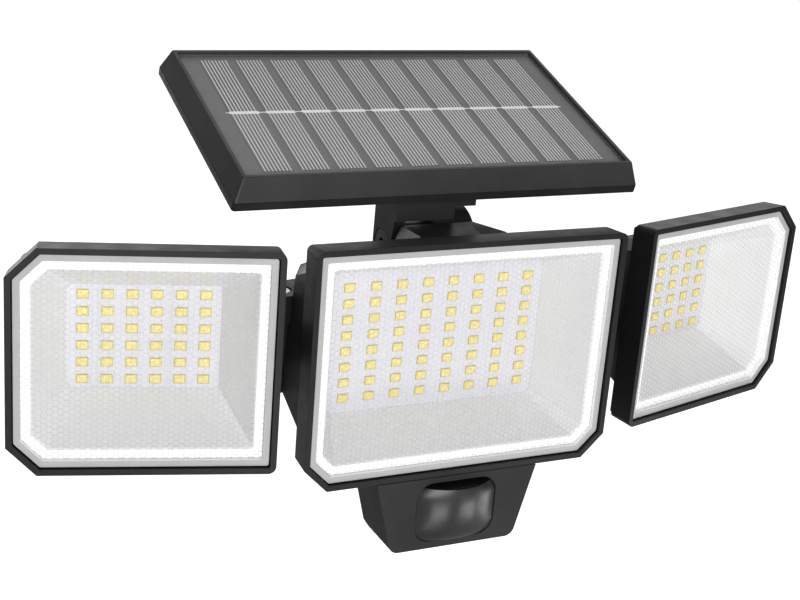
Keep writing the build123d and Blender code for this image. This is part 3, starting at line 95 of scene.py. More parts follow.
# %% Camera
CAMERA_PLACE = (-0.2993, -0.6865, 0.2768)
FOCAL_PIXELS, PICTURE_WIDTH, SENSOR_MM = 1473.67, 800.0, 36.0
SHIFT_ACROSS, SHIFT_UP = 0.00866, -0.00783       # shares of the picture's width
NEAREST, FARTHEST = 0.01, 60.0                   # what the camera can see lies between these
HEADING, PITCH, ROLL = radians(26.45), radians(18.49), radians(4.54)
around_z = Matrix.Rotation(HEADING, 3, "Z")
around_x = Matrix.Rotation(PITCH, 3, "X")
around_y = Matrix.Rotation(ROLL, 3, "Y")
to_view = around_y @ around_x @ around_z          # rows: right, forward, up
right, forward, up = to_view[0], to_view[1], to_view[2]
lens = bpy.data.cameras.new("photo_camera")
lens.sensor_width = SENSOR_MM
lens.lens = FOCAL_PIXELS / PICTURE_WIDTH * SENSOR_MM
lens.shift_x, lens.shift_y = SHIFT_ACROSS, SHIFT_UP
lens.clip_start, lens.clip_end = NEAREST, FARTHEST
camera = bpy.data.objects.new("photo_camera", lens)
camera.matrix_world = Matrix.Translation(CAMERA_PLACE) @ Matrix((right, up, -forward)).transposed().to_4x4()
bpy.context.scene.collection.objects.link(camera)
bpy.context.scene.camera = camera
print("lens", round(lens.lens, 2), "mm, looking along", [round(v, 3) for v in forward])

# %% [markdown]
# ## Shader helpers
# A material is a small drawing in nodes.  These helpers add a node, wire it and hand back its output, so
# that a finish below reads as a recipe.  Every finish starts from the object's own coordinates, which stay
# with the piece when a lamp turns.

# %% Node helpers


def start_finish(name):
    """A new material with one Principled shader: returns the material, its node tree and the shader."""
    finish = bpy.data.materials.new(name)
    finish.use_nodes = True
    return finish, finish.node_tree, finish.node_tree.nodes["Principled BSDF"]


def add_node(tree, kind, inputs=None, **settings):
    """Add a node, set its options, and give its inputs a number, a colour or another node's output."""
    made = tree.nodes.new(kind)
    for key, value in settings.items():
        setattr(made, key, value)
    for key, value in (inputs or {}).items():
        if isinstance(value, bpy.types.NodeSocket):
            tree.links.new(value, made.inputs[key])
        else:
            made.inputs[key].default_value = value
    return made


def own_place(tree):
    """The object's own coordinates, in metres."""
    return add_node(tree, "ShaderNodeTexCoord").outputs["Object"]


print("helpers:", start_finish.__name__, add_node.__name__, own_place.__name__)

# %% [markdown]
# ## Noise, tones and relief
# Nothing moulded or plated is quite even: its tone drifts, its sheen drifts, and its skin has a grain.  A
# painted picture could hold all that, but it would show its dots close up and its seams at the edges.
# Noise that is worked out from the piece's own place has neither, so tone, sheen and grain all use it.

# %% Noise helpers
NOISE_LOW, NOISE_HIGH = 0.3, 0.7                 # noise keeps mostly between these


def speckle(tree, grain_mm, detail=2.0):
    """Soft random noise whose grains are about this many millimetres across."""
    noise = add_node(tree, "ShaderNodeTexNoise", {"Vector": own_place(tree), "Scale": 1 / (grain_mm * MM),
                                                  "Detail": detail})
    return noise.outputs["Fac"]


def spread(tree, noise, low, high):
    """Map noise to a range."""
    made = add_node(tree, "ShaderNodeMapRange", {"Value": noise, "From Min": NOISE_LOW,
                                                 "From Max": NOISE_HIGH, "To Min": low, "To Max": high})
    return made.outputs["Result"]


def blend_colours(tree, amount, first, second):
    """Mix two colours, or two nodes' colours, by an amount from 0 to 1."""
    made = add_node(tree, "ShaderNodeMix", {0: amount}, data_type="RGBA")
    for index, colour in ((6, first), (7, second)):
        if isinstance(colour, bpy.types.NodeSocket):
            tree.links.new(colour, made.inputs[index])
        else:
            made.inputs[index].default_value = (*colour, 1)
    return made.outputs[2]


def uneven_tone(tree, shader, noise, first, second):
    """Let the colour drift between two tones."""
    tree.links.new(blend_colours(tree, spread(tree, noise, 0, 1), first, second), shader.inputs["Base Color"])


def uneven_sheen(tree, shader, noise, low, high):
    """Let the roughness drift between two values."""
    tree.links.new(spread(tree, noise, low, high), shader.inputs["Roughness"])


def raise_surface(tree, shader, height, depth_mm):
    """Let a height pattern stand out by this many millimetres."""
    bump = add_node(tree, "ShaderNodeBump", {"Height": height, "Distance": depth_mm * MM})
    tree.links.new(bump.outputs["Normal"], shader.inputs["Normal"])


print("helpers:", uneven_tone.__name__, uneven_sheen.__name__, raise_surface.__name__)

# %% [markdown]
# ## Black moulded plastic
# Bezels, shells, housing and panel frame are black polypropylene from a spark-eroded mould.  Close up it
# has a fine grain, and its sheen changes a little from place to place where the plastic flowed and where
# hands have touched it.  One coarse noise does the tone, a finer one the sheen and the finest the grain.
# The same recipe with other numbers serves every plastic and rubber part.

# %% Moulded plastics
CLOUD_MM, SHEEN_MM, SHEEN_DRIFT = 38.0, 9.0, 0.05


def moulded_plastic(name, colour, rough, grain_mm=0.35, grain_depth=0.012, gloss=0.5, cloud=0.16):
    """Moulded plastic with a fine grain and slow changes in tone and sheen."""
    finish, tree, shader = start_finish(name)
    dark = tuple(c * (1 - cloud) for c in colour)
    light = tuple(c * (1 + cloud) for c in colour)
    uneven_tone(tree, shader, speckle(tree, CLOUD_MM, 3.0), dark, light)
    uneven_sheen(tree, shader, speckle(tree, SHEEN_MM, 3.0), rough - SHEEN_DRIFT, rough + SHEEN_DRIFT)
    shader.inputs["Specular IOR Level"].default_value = gloss
    raise_surface(tree, shader, speckle(tree, grain_mm), grain_depth)
    return finish


black_plastic = moulded_plastic("moulded_black_plastic", (0.009, 0.009, 0.0095), 0.42, gloss=0.25)
frame_plastic = moulded_plastic("panel_frame_plastic", (0.030, 0.030, 0.0305), 0.42, gloss=0.27)
shell_plastic = moulded_plastic("black_shell_plastic", (0.018, 0.018, 0.0185), 0.45, gloss=0.27)
sensor_plastic = moulded_plastic("sensor_case_plastic", (0.032, 0.032, 0.033), 0.5, gloss=0.05)
bracket_plastic = moulded_plastic("black_bracket_plastic", (0.022, 0.022, 0.0225), 0.5,
                                  grain_mm=0.5, gloss=0.26)
button_rubber = moulded_plastic("button_rubber", (0.02, 0.02, 0.021), 0.7, grain_mm=0.25, gloss=0.3)
seal_silicone = moulded_plastic("seal_silicone", (0.62, 0.62, 0.62), 0.6,
                                grain_mm=0.25, gloss=0.3, cloud=0.04)
chip_plastic = moulded_plastic("chip_plastic", (0.02, 0.02, 0.022), 0.4, grain_mm=0.15)
battery_sleeve = moulded_plastic("battery_sleeve", (0.05, 0.14, 0.36), 0.3, grain_mm=1.0, grain_depth=0.004)
dome_black = moulded_plastic("sensor_dome_plastic", (0.010, 0.010, 0.0105), 0.26,
                             grain_mm=0.8, grain_depth=0.0005, gloss=0.55, cloud=0.05)
print("plastics made")

# %% [markdown]
# ## White reflector tray
# The tray behind each cover is glossy white plastic.  In the light a bright band runs round its mouth, and
# its walls look duller, as shade falls inside the tray; that shade is painted into the walls' colour.  Band
# and walls could be two finishes on two sets of faces, but then the border would hang on how the faces are
# cut.  Here the depth inside the tray picks the tone.

# %% Reflector finish
BAND_DEPTH, BAND_FADE = -4.6, 0.5                # the band lies in front of this depth


def white_reflector():
    """Glossy white plastic with a faint ripple, brighter on the band, and darker on the walls with painted
    shade.
    """
    finish, tree, shader = start_finish("white_reflector_painted_shade")
    clouds = spread(tree, speckle(tree, 30.0), 0, 1)
    # the walls' darker tone is painted shade for the shade that falls inside the tray
    walls = blend_colours(tree, clouds, (0.735, 0.737, 0.742), (0.755, 0.757, 0.762))
    band = blend_colours(tree, clouds, (0.90, 0.90, 0.905), (0.92, 0.92, 0.925))
    depth = add_node(tree, "ShaderNodeSeparateXYZ", {"Vector": own_place(tree)}).outputs["Z"]
    fade = {"Value": depth, "From Min": (BAND_DEPTH - BAND_FADE) * MM, "From Max": BAND_DEPTH * MM}
    band_over_painted_shade = add_node(tree, "ShaderNodeMapRange", fade).outputs["Result"]
    tree.links.new(blend_colours(tree, band_over_painted_shade, walls, band), shader.inputs["Base Color"])
    uneven_sheen(tree, shader, speckle(tree, 6.0), 0.28, 0.4)
    raise_surface(tree, shader, speckle(tree, 1.6), 0.01)
    return finish


reflector_white_painted_shade = white_reflector()
print("reflector finish made")

# %% [markdown]
# ## LED boards and LEDs
# The white coating of an LED board lets its copper tracks show faintly, and the green boards inside do the
# same.  Tracks could be modelled, but they stand out by a hair only, so a brick pattern with a little relief
# does.  An LED is a small ivory tray filled with yellow phosphor gel, whose grains are a fine noise.  The
# tray is drawn a darker yellow: partly the gel's tint, partly painted shade along the LED's edges.

# %% Board and LED finishes
LED_TRACK_MM, GREEN_TRACK_MM, TRACK_RELIEF = 12.8, 5.0, 0.03


def coated_board(name, track_mm, bricks, tones, rough_mm, sheen):
    """A board's coating, with tracks that stand out a little under it."""
    finish, tree, shader = start_finish(name)
    tracks = add_node(tree, "ShaderNodeTexBrick", {"Vector": own_place(tree), "Scale": 1 / (track_mm * MM),
                                                   **bricks}).outputs["Fac"]
    tree.links.new(blend_colours(tree, tracks, *tones), shader.inputs["Base Color"])
    uneven_sheen(tree, shader, speckle(tree, rough_mm), *sheen)
    raise_surface(tree, shader, tracks, TRACK_RELIEF)
    return finish


def phosphor():
    """Yellow phosphor gel: a grainy fill, a little deeper in colour from grain to grain."""
    finish, tree, shader = start_finish("led_phosphor")
    uneven_tone(tree, shader, speckle(tree, 1.1, 3.0), (0.62, 0.52, 0.15), (0.84, 0.74, 0.28))
    uneven_sheen(tree, shader, speckle(tree, 1.0), 0.3, 0.5)
    raise_surface(tree, shader, speckle(tree, 0.4), 0.02)
    return finish


def led_frame():
    """The LED's own small tray, drawn a darker yellow: partly the phosphor's tint, partly painted shade along
    its edges.
    """
    finish, tree, shader = start_finish("led_package_tint_and_shade")
    # darker than the gel: partly the package's tint, partly painted shade along the LED's edges
    uneven_tone(tree, shader, speckle(tree, 0.8), (0.52, 0.43, 0.12), (0.62, 0.53, 0.18))
    uneven_sheen(tree, shader, speckle(tree, 0.7), 0.35, 0.5)
    return finish


board_white = coated_board("white_board_coating", LED_TRACK_MM,
                           {"Mortar Size": 0.03, "Mortar Smooth": 0.2, "Brick Width": 1.0, "Row Height": 0.6},
                           ((0.615, 0.61, 0.65), (0.585, 0.58, 0.62)), 3.0, (0.3, 0.42))
mask_green = coated_board("green_board_mask", GREEN_TRACK_MM,
                          {"Mortar Size": 0.06, "Brick Width": 1.3, "Row Height": 0.5},
                          ((0.02, 0.16, 0.06), (0.05, 0.28, 0.12)), 2.0, (0.25, 0.4))
led_yellow = phosphor()
led_frame_tint_and_shade = led_frame()
print("board and LED finishes made")

# %% [markdown]
# ## Clear covers and the panel's glass
# The covers are clear plastic and the panel has matt glass over its cells.  The shader can bend light as a
# thick glass does, but so thin a sheet hardly bends it, and it would take longer to render.  So a sheet is
# mostly see-through, by its alpha, with a slight uneven haze.  Flange and honeycomb are cloudier.

# %% Clear finishes


def clear_plastic(name, tint, cover, rough, cover_spread=0.02, haze_mm=14.0, gloss=0.5):
    """Clear sheet: cover says how much it hides, from 0 to 1."""
    finish, tree, shader = start_finish(name)
    haze = speckle(tree, haze_mm, 3.0)
    uneven_tone(tree, shader, haze, tint, tuple(min(c * 1.05, 1) for c in tint))
    tree.links.new(spread(tree, haze, cover - cover_spread, cover + cover_spread), shader.inputs["Alpha"])
    uneven_sheen(tree, shader, speckle(tree, 5.0), rough - 0.02, rough + 0.03)
    shader.inputs["Specular IOR Level"].default_value = gloss
    return finish


cover_clear = clear_plastic("clear_cover_plastic", (0.93, 0.95, 0.96), 0.03, 0.08, cover_spread=0.01)
cover_edge = clear_plastic("frosted_cover_flange", (0.40, 0.40, 0.404), 0.94, 0.4)
honeycomb_clear = clear_plastic("honeycomb_ribs", (0.38, 0.38, 0.41), 0.09, 0.3)
panel_pane = clear_plastic("panel_glass", (0.55, 0.56, 0.57), 0.06, 0.3, cover_spread=0.005, haze_mm=60.0,
                           gloss=0.05)
print("clear finishes made")

# %% [markdown]
# ## Metal
# Screws and bolts are plated steel, the detector sits in a metal can, and the panel's ribbon is tinned.
# A polished metal mirrors its surroundings, while plating is slightly uneven, so tone and roughness drift a
# little.  The ribbon is nearly white and hardly mirrors at all, so that it stays bright under its glass: its
# white is partly the tin's own and partly a painted reflection, standing in for the tin's shine.

# %% Metals
SCRATCH_MM, SCRATCH_DEPTH = 0.5, 0.004


def metal(name, colour, rough, metallic=1.0):
    """Plated metal with a faint uneven polish."""
    finish, tree, shader = start_finish(name)
    uneven_tone(tree, shader, speckle(tree, 3.0, 4.0), tuple(c * 0.86 for c in colour), colour)
    uneven_sheen(tree, shader, speckle(tree, 1.2), rough - 0.08, rough + 0.1)
    shader.inputs["Metallic"].default_value = metallic
    raise_surface(tree, shader, speckle(tree, SCRATCH_MM), SCRATCH_DEPTH)
    return finish


# the ribbon's near-white is partly the tin's own colour and partly a painted reflection of its shine
tinned_ribbon_painted_shine = metal("tinned_ribbon_painted_shine", (0.97, 0.97, 0.97), 0.5, metallic=0.15)
black_plate = metal("black_plated_steel", (0.06, 0.06, 0.062), 0.42)
zinc_plate = metal("zinc_plated_steel", (0.62, 0.63, 0.65), 0.32)
detector_can = metal("detector_can", (0.66, 0.66, 0.66), 0.28)
print("metals made")

# %% [markdown]
# ## Solar cells and their backing
# A polycrystalline cell is silicon with thin printed silver lines.  Under its matt glass it looks an even
# grey, so silicon and backing are greys close to one another and the glass only adds a faint haze.  A
# mirror-bright glass would be closer to a window, but here it would hide the cells.

# %% Cell finishes


def silicon():
    """Silicon strip under glass: an even grey with a faint crystal speckle."""
    finish, tree, shader = start_finish("silicon_cells")
    uneven_tone(tree, shader, speckle(tree, 5.0), (0.185, 0.185, 0.186), (0.200, 0.200, 0.201))
    uneven_sheen(tree, shader, speckle(tree, 14.0), 0.5, 0.56)
    shader.inputs["Specular IOR Level"].default_value = 0.3
    return finish


cell_silicon = silicon()
silver_print = moulded_plastic("silver_print", (0.90, 0.90, 0.905), 0.5, grain_mm=0.5, grain_depth=0.002,
                               cloud=0.06)
backing_sheet = moulded_plastic("grey_backing_sheet", (0.150, 0.150, 0.151), 0.52, grain_mm=3.0,
                                grain_depth=0.001, gloss=0.3, cloud=0.04)
print("cell finishes made")

# %% [markdown]
# ## Rounded edges
# No moulded edge is perfectly sharp.  Its tiny radius is what draws a thin line of light along every edge
# of the real light.  The CAD pieces are exact but sharp, so each visible one is copied, its flat faces are
# joined up again, and a bevel of a few tenths of a millimetre is cut along the sharp edges.

# %% Copy a CAD piece with rounded edges
WELD_GAP, FLAT_TURN = 2e-6, radians(0.4)         # closer corners are joined, flatter edges are dropped
SHARP_TURN, SHADING_WEIGHT = radians(30.0), 80   # sharper edges are rounded


def new_piece(work, name, finishes, plane):
    """Turn finished mesh work into an object that lies in a plane."""
    mesh = bpy.data.meshes.new(name)
    work.to_mesh(mesh)
    work.free()
    for finish in finishes:
        mesh.materials.append(finish)
    piece = bpy.data.objects.new(name, mesh)
    piece.matrix_world = PLANES[plane]
    return piece


def link_piece(piece, node_names, body, slot):
    """Show a piece, stand it in for CAD nodes if there are any, and let it move with a body."""
    bpy.context.scene.collection.objects.link(piece)
    for node in node_names:
        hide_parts(node)
    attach(piece, body)


def bake_modifiers(piece):
    """Apply all modifiers of a piece, so that its mesh is final."""
    bpy.context.view_layer.update()
    evaluated = piece.evaluated_get(bpy.context.evaluated_depsgraph_get())
    made = bpy.data.meshes.new_from_object(evaluated)
    piece.modifiers.clear()
    piece.data = made


def rounded_copy(node, finish, radius_mm, plane="upright", steps=2):
    """Copy a CAD node into a plane's own coordinates, round its sharp edges and show it instead."""
    work = bmesh.new()
    work.from_mesh(frame["nodes"][node].data)
    bmesh.ops.remove_doubles(work, verts=work.verts, dist=WELD_GAP)
    bmesh.ops.dissolve_limit(work, angle_limit=FLAT_TURN, verts=work.verts, edges=work.edges)
    bmesh.ops.transform(work, matrix=PLANES[plane].inverted(), verts=work.verts)
    bmesh.ops.recalc_face_normals(work, faces=work.faces)
    for face in work.faces:
        face.smooth = True
        face.material_index = 0
    piece = new_piece(work, node + ".finished", [finish], plane)
    link_piece(piece, [node], body_of_node[node], slot_of_node[node])
    bevel = piece.modifiers.new("edge_radius", "BEVEL")
    bevel.width, bevel.segments = radius_mm * MM, steps
    bevel.limit_method, bevel.angle_limit = "ANGLE", SHARP_TURN
    bevel.miter_outer = "MITER_ARC"
    normals = piece.modifiers.new("even_shading", "WEIGHTED_NORMAL")
    normals.keep_sharp, normals.weight = False, SHADING_WEIGHT
    bake_modifiers(piece)


print("helpers:", new_piece.__name__, link_piece.__name__, bake_modifiers.__name__, rounded_copy.__name__)

# %% [markdown]
# ## Which piece gets which radius
# Large black mouldings have a generous radius and thin clear or white ones a small one.  One value for all
# would be shorter to write, but it would swallow the smallest edges, so the radius is given piece by piece.
# Lamp pieces are copied into their lamp's plane and panel pieces into the panel's, so that their finishes
# lie straight on them.

# %% Round the visible pieces
for side in ("left", "centre", "right"):
    rounded_copy(side + "_bezel", black_plastic, 0.7, side, steps=4)
    rounded_copy(side + "_reflector", reflector_white_painted_shade, 0.25, side)
    rounded_copy(side + "_lens", cover_clear, 0.25, side)
for side in ("left", "right"):
    rounded_copy(side + "_shell", shell_plastic, 0.5, side)
    rounded_copy(side + "_elbow", shell_plastic, 0.4)
for node, finish, radius in (("rear_housing", shell_plastic, 0.5), ("wall_bracket", bracket_plastic, 0.5),
                             ("panel_bracket", bracket_plastic, 0.4), ("sensor_case", sensor_plastic, 0.5),
                             ("mode_button", button_rubber, 0.2)):
    rounded_copy(node, finish, radius)
for node, finish, radius in (("panel_frame", frame_plastic, 0.4), ("panel_cover", shell_plastic, 0.4)):
    rounded_copy(node, finish, radius, "panel")

# %% [markdown]
# ## Honeycomb in the covers
# Each clear cover has a honeycomb of tiny lenses moulded into it, which spreads the light.  Its cells are
# 2.56 mm from middle to middle, above one another in columns that are 2.22 mm apart.  The walls between
# cells catch the light as thin grey lines.  They could be drawn in the material, but as geometry they stay
# crisp at any distance, so each cell is a six-sided frame, cut off along the cover's rim.  The rim follows
# the lamp's outline, so the outline comes first.

# %% A lamp's outline
SIDE_SIZE, CENTRE_SIZE = (110.0, 97.0, 12.3), (150.0, 108.5, 11.0)      # width, height and corner cut
HEAD_SIZES = {"left": SIDE_SIZE, "centre": CENTRE_SIZE, "right": SIDE_SIZE}
CUT_CORNERS = {"left": (-1, 0), "centre": (0, -1), "right": (1, 0)}
LENS_INSET, LENS_RIM, LENS_RECESS, LENS_THICKNESS = 3.5, 2.1, 1.7, 1.8
CORNERS = ((1, 1), (-1, 1), (-1, -1), (1, -1))
LEAST_CUT, CUT_GAP = 0.5, 1e-7


def head_outline(side, inset):
    """Corners of a lamp's outline, moved in by inset, in millimetres and in order."""
    width, height, cut = HEAD_SIZES[side]
    half_width, half_height = width / 2 - inset, height / 2 - inset
    cut = max(cut - inset * (2 - sqrt(2)), LEAST_CUT)
    points = []
    for x, y in CORNERS:
        corner = (x * half_width, y * half_height)
        if x * CUT_CORNERS[side][0] + y * CUT_CORNERS[side][1] > 0:
            ends = [(corner[0], corner[1] - y * cut), (corner[0] - x * cut, corner[1])]
            points += ends if x * y > 0 else ends[::-1]
        else:
            points.append(corner)
    return points


def clip_to_outline(work, outline):
    """Cut away what lies outside a convex outline."""
    for first, second in zip(outline, outline[1:] + outline[:1]):
        along = Vector((second[0] - first[0], second[1] - first[1], 0))
        outwards = Vector((along.y, -along.x, 0)).normalized()
        bmesh.ops.bisect_plane(work, geom=work.verts[:] + work.edges[:] + work.faces[:], dist=CUT_GAP,
                               plane_co=Vector((*first, 0)) * MM, plane_no=outwards, clear_outer=True)


print("corners of the left lamp's outline", len(head_outline("left", 0.0)))

# %% Honeycomb net
CELL_RISE, RIB_WIDTH, RIB_HEIGHT, RIB_SINK = 2.563, 0.34, 0.12, 0.02


def honeycomb(side):
    """The net of cell walls on the back of one lamp's cover."""
    column = CELL_RISE * sqrt(3) / 2
    width, height, _ = HEAD_SIZES[side]
    columns, rows = int(width / 2 / column) + 1, int(height / 2 / CELL_RISE) + 1
    outer, inner = CELL_RISE / sqrt(3), (CELL_RISE - RIB_WIDTH) / sqrt(3)
    back = -LENS_RECESS - LENS_THICKNESS + RIB_SINK
    work = bmesh.new()
    spokes = [(cos(pi / 3 * k), sin(pi / 3 * k)) for k in range(6)]
    for i in range(-columns, columns + 1):
        for j in range(-rows, rows + 1):
            x, y = i * column, (j + 0.5 * (i % 2)) * CELL_RISE
            rings = [[work.verts.new(Vector((x + r * c, y + r * s, back)) * MM) for c, s in spokes]
                     for r in (outer, inner)]
            for k in range(6):
                n = (k + 1) % 6
                work.faces.new((rings[0][k], rings[0][n], rings[1][n], rings[1][k]))
    bmesh.ops.remove_doubles(work, verts=work.verts, dist=WELD_GAP)
    clip_to_outline(work, head_outline(side, LENS_INSET + LENS_RIM))
    walls = bmesh.ops.extrude_face_region(work, geom=work.faces[:])
    moved = [v for v in walls["geom"] if isinstance(v, bmesh.types.BMVert)]
    bmesh.ops.translate(work, vec=Vector((0, 0, -RIB_HEIGHT * MM)), verts=moved)
    bmesh.ops.recalc_face_normals(work, faces=work.faces)
    piece = new_piece(work, side + "_honeycomb", [honeycomb_clear], side)
    link_piece(piece, [], body_of_node[side + "_lens"], "clear_cover")
    return len(piece.data.polygons)


for side in HEAD_SIZES:
    print(side, "honeycomb faces", honeycomb(side))

# %% [markdown]
# ## The cover's frosted flange
# Round the honeycomb the cover has a flat rim where it sits on its seal.  It is frosted, so it shows as a
# light grey line inside the black bezel.  A thin frame just above the cover's face gives it that.  Under it a
# white lip carries on the tray's bright band, so no dark gap shows between the two from the side.

# %% Flange frames
BEZEL_CORNER, LEAST_CORNER = 3.5, 0.6            # radii of the outline's corners


def rounded_points(outline, radius, steps=5):
    """Round the corners of an outline, given in millimetres."""
    points = []
    count = len(outline)
    for k in range(count):
        corner = Vector(outline[k])
        before = (Vector(outline[k - 1]) - corner).normalized()
        after = (Vector(outline[(k + 1) % count]) - corner).normalized()
        half = before.angle(after) / 2
        reach = radius / sin(half)
        middle = corner + (before + after).normalized() * reach
        start = corner + before * (reach * cos(half)) - middle
        end = corner + after * (reach * cos(half)) - middle
        for step in range(steps + 1):
            points.append(middle + start.slerp(end, step / steps))
    return points


def flat_frame(side, outer, inner, front, thickness, finish, name, slot):
    """A flat frame that follows a lamp's outline between two insets."""
    work = bmesh.new()
    rings = []
    for depth in (front, front - thickness):
        for inset in (outer, inner):
            corner = max(BEZEL_CORNER - inset, LEAST_CORNER)
            points = rounded_points(head_outline(side, inset), corner)
            rings.append([work.verts.new(Vector((p.x, p.y, depth)) * MM) for p in points])
    count = len(rings[0])
    for k in range(count):
        n = (k + 1) % count
        for a, b in ((0, 1), (1, 3), (3, 2), (2, 0)):
            work.faces.new((rings[a][k], rings[a][n], rings[b][n], rings[b][k]))
    bmesh.ops.recalc_face_normals(work, faces=work.faces)
    link_piece(new_piece(work, name, [finish], side), [], body_of_node[side + "_lens"], slot)


FLANGE_GAP, FLANGE_OVERLAP, FLANGE_RISE, FLANGE_THICKNESS = 0.05, 0.5, 0.06, 0.1
FLANGE_OUTER = LENS_INSET + FLANGE_GAP
FLANGE_INNER = LENS_INSET + LENS_RIM + FLANGE_OVERLAP
FLANGE_FRONT = -LENS_RECESS + FLANGE_RISE
LIP_WIDTH, LIP_BACK = 0.6, -4.05
lip_front = FLANGE_FRONT - FLANGE_THICKNESS
for side in HEAD_SIZES:
    flat_frame(side, FLANGE_OUTER, FLANGE_INNER, FLANGE_FRONT, FLANGE_THICKNESS, cover_edge,
               side + "_flange", "clear_cover")
    flat_frame(side, FLANGE_INNER - LIP_WIDTH, FLANGE_INNER, lip_front, lip_front - LIP_BACK,
               reflector_white_painted_shade, side + "_tray_lip", slot_of_node[side + "_reflector"])
print("flange frames made")

# %% [markdown]
# ## LEDs
# Each board carries a grid of small LEDs.  One LED is a tray with a thin wall, a yellow gel fill that
# crowns slightly, and a chamfered top edge.  All the LEDs of one board are made as one mesh.

# %% LED grids
TRAY_DEPTH = 32.8
LED_SIZE = (5.0, 4.0, 0.7)
LED_CHAMFER, LED_WALL, GEL_EDGE, GEL_FLAT = 0.1, 0.3, 0.42, 1.2     # inwards from the package's side
GEL_DROP, CROWN_DROP = 0.12, 0.04                                   # down from its top
GEL_STRETCH = 4                                                     # from here on the profile is gel
LED_GRIDS = {"left": (6, 6, 10.2, 7.6), "centre": (8, 8, 12.8, 7.45), "right": (6, 6, 10.2, 7.6)}


def led_grid(side):
    """All the LEDs of one board."""
    columns, rows, pitch_x, pitch_y = LED_GRIDS[side]
    width, height, thickness = LED_SIZE
    # (inset, height) from the foot of the package up over its wall and down to the gel
    profile = ((0.0, 0.0), (0.0, thickness - GEL_DROP), (LED_CHAMFER, thickness), (LED_WALL, thickness),
               (GEL_EDGE, thickness - GEL_DROP), (GEL_FLAT, thickness - CROWN_DROP))
    work = bmesh.new()
    for i in range(columns):
        for j in range(rows):
            x, y = (i - (columns - 1) / 2) * pitch_x, (j - (rows - 1) / 2) * pitch_y
            rings = []
            for inset, rise in profile:
                corners = [(sx * (width / 2 - inset), sy * (height / 2 - inset)) for sx, sy in CORNERS]
                rings.append([work.verts.new(Vector((x + cx, y + cy, rise - TRAY_DEPTH)) * MM)
                              for cx, cy in corners])
            work.faces.new(rings[0])
            for level, (low, high) in enumerate(zip(rings, rings[1:])):
                for k in range(4):
                    face = work.faces.new((low[k], low[(k + 1) % 4], high[(k + 1) % 4], high[k]))
                    face.material_index = 1 if level >= GEL_STRETCH else 0
            work.faces.new(rings[-1]).material_index = 1
    bmesh.ops.recalc_face_normals(work, faces=work.faces)
    piece = new_piece(work, side + "_led_grid", [led_frame_tint_and_shade, led_yellow], side)
    link_piece(piece, [side + "_leds"], body_of_node[side + "_leds"], "led")


for side in LED_GRIDS:
    led_grid(side)
print("LEDs", sum(c * r for c, r, _, _ in LED_GRIDS.values()))

# %% [markdown]
# ## The sensor's dome
# The detector looks out through a black dome that lets heat rays pass.  It swells forwards most a little
# above its middle and is cut off flat on top, which shows as a dark brow.  A squashed ball would swell
# evenly and miss that, so rows of arcs make the outer sheet, and a modifier gives the sheet its wall.

# %% Rows of the dome
WINDOW_WIDTH, WINDOW_HEIGHT, WINDOW_RADIUS, WINDOW_DROP = 40.0, 29.0, 8.0, 2.6
SENSOR_GAP = 0.3
SENSOR_TOP = -CENTRE_SIZE[1] / 2 - SENSOR_GAP
WINDOW_MIDDLE = SENSOR_TOP - WINDOW_DROP - WINDOW_HEIGHT / 2
DOME_BULGE, DOME_CREST, DOME_SINK, DOME_BROW, DOME_GAP = 7.0, 5.0, 0.4, 1.8, 0.12
DOME_BACK, DOME_ROWS, DOME_COLUMNS = 3.4, 30, 56
DOME_FOOT_BULGE = 1.0
DOME_TURN = 1.33                 # the nearer to a quarter turn, the closer the rows lie at the foot


def dome_arc(up):
    """One level arc of the dome: points from its left to its right edge as (x, depth)."""
    corner = max(abs(up) - (WINDOW_HEIGHT / 2 - WINDOW_RADIUS), 0)
    half = WINDOW_WIDTH / 2 - WINDOW_RADIUS + sqrt(WINDOW_RADIUS ** 2 - corner ** 2) - DOME_GAP
    fall = (DOME_CREST - up) / (DOME_CREST + WINDOW_HEIGHT / 2)
    bulge = DOME_FOOT_BULGE + (DOME_BULGE - DOME_FOOT_BULGE) * sqrt(max(1 - fall ** 2, 0))
    radius = (half ** 2 + bulge ** 2) / (2 * bulge)
    points = []
    for k in range(DOME_COLUMNS + 1):
        x = half * (2 * k / DOME_COLUMNS - 1)
        points.append((x, DOME_SINK - bulge + radius - sqrt(radius ** 2 - x ** 2)))
    return points


def dome_rows():
    """The outer sheet, row by row from the brow to the foot, with its edges turned back."""
    top = WINDOW_HEIGHT / 2 - DOME_BROW
    foot = DOME_GAP - WINDOW_HEIGHT / 2
    rows = []
    for step in range(DOME_ROWS + 1):
        up = top - (top - foot) * sin(DOME_TURN * step / DOME_ROWS) / sin(DOME_TURN)
        front = [(x, depth, up) for x, depth in dome_arc(up)]
        rows.append([(front[0][0], DOME_BACK, up)] + front + [(front[-1][0], DOME_BACK, up)])
    brow, sole = ([(x, DOME_BACK, up) for x, _, up in row] for row in (rows[0], rows[-1]))
    return [brow] + rows + [sole]


print("dome rows", len(dome_rows()))

# %% Dome
DOME_WALL, DOME_EDGE, DOME_SHARP, FINE_WELD = 1.3, 0.25, radians(40), 1e-6


